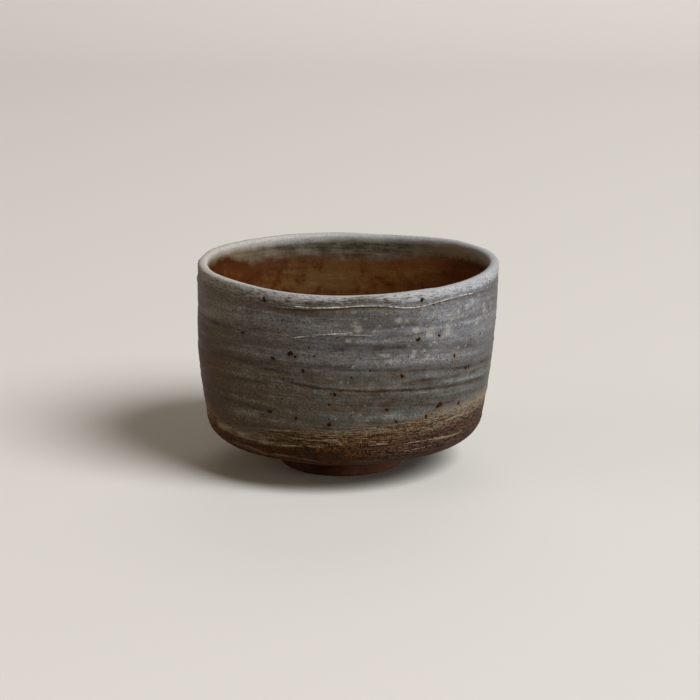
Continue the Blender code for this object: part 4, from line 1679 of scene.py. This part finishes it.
# Looks with one grain: two tones, the mark that picks between them, and how rough they are
ridgeGrain = dict(mark="crest", tones=(0.1, 0.9), rough=(0.5, 0.65), masks=dict(grain=mottle(0.8, 3.0, 2.0)))
grainLooks = dict(
    ironSpeck=dict(
        low=tint("140c06"),
        high=tint("40270f"),
        mark="rust",
        tones=(0.5, 1.2),
        rough=(0.5, 0.7),
        masks=dict(grain=mottle(0.5, 2.4)),
        gloss=0.1,
        bump=0.3,
        bumpDepth=0.1 * mm,
    ),
    ridgeGlaze=dict(
        low=tint("6d6a66"), high=tint("b9b2a6"), gloss=0.15, bump=0.25, bumpDepth=0.2 * mm, **ridgeGrain,
    ),
    ridgeSlip=dict(
        low=tint("4a3420"), high=tint("8d8172"), gloss=0.08, bump=0.4, bumpDepth=0.2 * mm, **ridgeGrain,
    ),
)


# Specks are black or rusty, and the crest of a ridge is paler
def grainMaterial(name):
    look = grainLooks[name]
    material, tree, shader = newMaterial(name)
    masks = masksOf(tree, place(tree), look)
    shade = total(tree, mark(tree, look["mark"]), leaning(tree, masks, grain=0.9))
    colour = mixTint(tree, ramp(tree, shade, *look["tones"]), look["low"], look["high"])
    roughness = ramp(tree, masks["grain"], 0.0, 1.0, *look["rough"])
    finishShader(tree, shader, look, colour, roughness, masks["grain"])
    return material


def dress(piece, material, node):
    piece.data.materials.append(material)
    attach(piece, "root")
    if node:
        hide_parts(node)
    print("made", piece.name, len(piece.data.polygons), "faces")


dress(outerGlazePiece(), ashGlazeMaterial(), "outer_glaze")
dress(innerGlazePiece(), linerGlazeMaterial(), "inner_glaze")
dress(hipSlipPiece(), ironSlipMaterial(), "hip_slip")
dress(clayBodyPiece(), bareClayMaterial("stonewareClay", "spiral", 0.5), "clay_body")
dress(footRingPiece(), bareClayMaterial("footClay", "ringLine", 0.35), "foot_ring")
dress(lutingSlipPiece(), bareClayMaterial("lutingClay", "smear", 0.3), "luting_slip")
dress(ironSpecksPiece(), grainMaterial("ironSpeck"), None)
dress(ridgePiece("throwRidges", glazeRidges, glazeLift, 101), grainMaterial("ridgeGlaze"), None)
dress(ridgePiece("trimRidges", slipRidges, slipLift, 111), grainMaterial("ridgeSlip"), None)

# Stage: one pale sweep that is floor and backdrop
stage = dict(
    width=6.0,
    front=-2.5,
    bendAt=1.1,
    bend=0.9,
    bendSteps=24,
    wallTop=2.6,
    pale=tint("dcd8d2"),
    bounce=tint("57462f"),
    roughness=0.9,
    gloss=0.1,
)


def sweepPiece():
    bendEnd = stage["bendAt"] + stage["bend"]
    profile = [(stage["front"], 0.0)]
    for angle in np.linspace(0, math.pi / 2, stage["bendSteps"]):
        depth = stage["bendAt"] + stage["bend"] * math.sin(angle)
        profile.append((depth, stage["bend"] * (1 - math.cos(angle))))
    profile.append((bendEnd, stage["wallTop"]))
    sides = (-stage["width"] / 2, stage["width"] / 2)
    places = [(side, depth, level) for depth, level in profile for side in sides]
    faces = [(2 * n, 2 * n + 1, 2 * n + 3, 2 * n + 2) for n in range(len(profile) - 1)]
    sweep = newPiece("studioSweep", places, faces, {})
    material, tree, shader = newMaterial("studioSweep")
    seen = tree.nodes.new("ShaderNodeLightPath")
    seenRays = [seen.outputs[ray] for ray in ("Is Camera Ray", "Is Glossy Ray", "Is Transmission Ray")]
    colour = mixTint(tree, total(tree, *seenRays), stage["bounce"], stage["pale"])
    tree.links.new(colour, shader.inputs["Base Color"])
    shader.inputs["Roughness"].default_value = stage["roughness"]
    shader.inputs["Specular IOR Level"].default_value = stage["gloss"]
    sweep.data.materials.append(material)


sweepPiece()

# Soft studio light: a large key and a low lamp on the right, a weak warm fill on the left, a soft one behind
lamps = dict(
    key=dict(aside=50, up=44, away=4.4, size=2.6, power=226.0, colour=(0.97, 0.985, 1.0)),
    low=dict(aside=75, up=8, away=2.6, size=1.0, power=12.5, colour=(1.0, 0.97, 0.94)),
    back=dict(aside=172, up=38, away=2.0, size=1.5, power=6.5, colour=(1.0, 0.97, 0.93)),
    fill=dict(aside=-75, up=18, away=1.6, size=1.2, power=4.2, colour=(1.0, 0.81, 0.61)),
)
view = dict(target=Vector((0.75 * mm, 0, 45.74 * mm)), away=1.0, up=14.64, focal=2474, frame=700, sensor=36)
worldLight = dict(colour=tint("d8cbb8"), strength=0.15)


# A linked lamp or camera that looks at the target: degrees to the right of the front, degrees up, distance
def addAimed(name, data, aside, up, away):
    thing = bpy.data.objects.new(name, data)
    bpy.context.scene.collection.objects.link(thing)
    aside, up = math.radians(aside), math.radians(up)
    side = Vector((math.sin(aside) * math.cos(up), -math.cos(aside) * math.cos(up), math.sin(up)))
    thing.location = view["target"] + away * side
    thing.rotation_euler = (view["target"] - thing.location).to_track_quat("-Z", "Y").to_euler()
    return thing


def addLamp(name, look):
    lamp = bpy.data.lights.new(name, "AREA")
    lamp.shape = "DISK"
    lamp.size = look["size"]
    lamp.energy = look["power"]
    lamp.color = look["colour"]
    addAimed(name, lamp, look["aside"], look["up"], look["away"])


def addCamera():
    camera = bpy.data.cameras.new("camera")
    camera.sensor_width = view["sensor"]
    camera.lens = view["focal"] * view["sensor"] / view["frame"]
    bpy.context.scene.camera = addAimed("camera", camera, 0, view["up"], view["away"])


for name, look in lamps.items():
    addLamp(name, look)
addCamera()
world = bpy.data.worlds.new("softRoom")
bpy.context.scene.world = world
world.use_nodes = True
world.node_tree.nodes["Background"].inputs["Color"].default_value = worldLight["colour"]
world.node_tree.nodes["Background"].inputs["Strength"].default_value = worldLight["strength"]
bpy.context.scene.view_settings.view_transform = "Standard"
print("stage, lamps and camera ready")
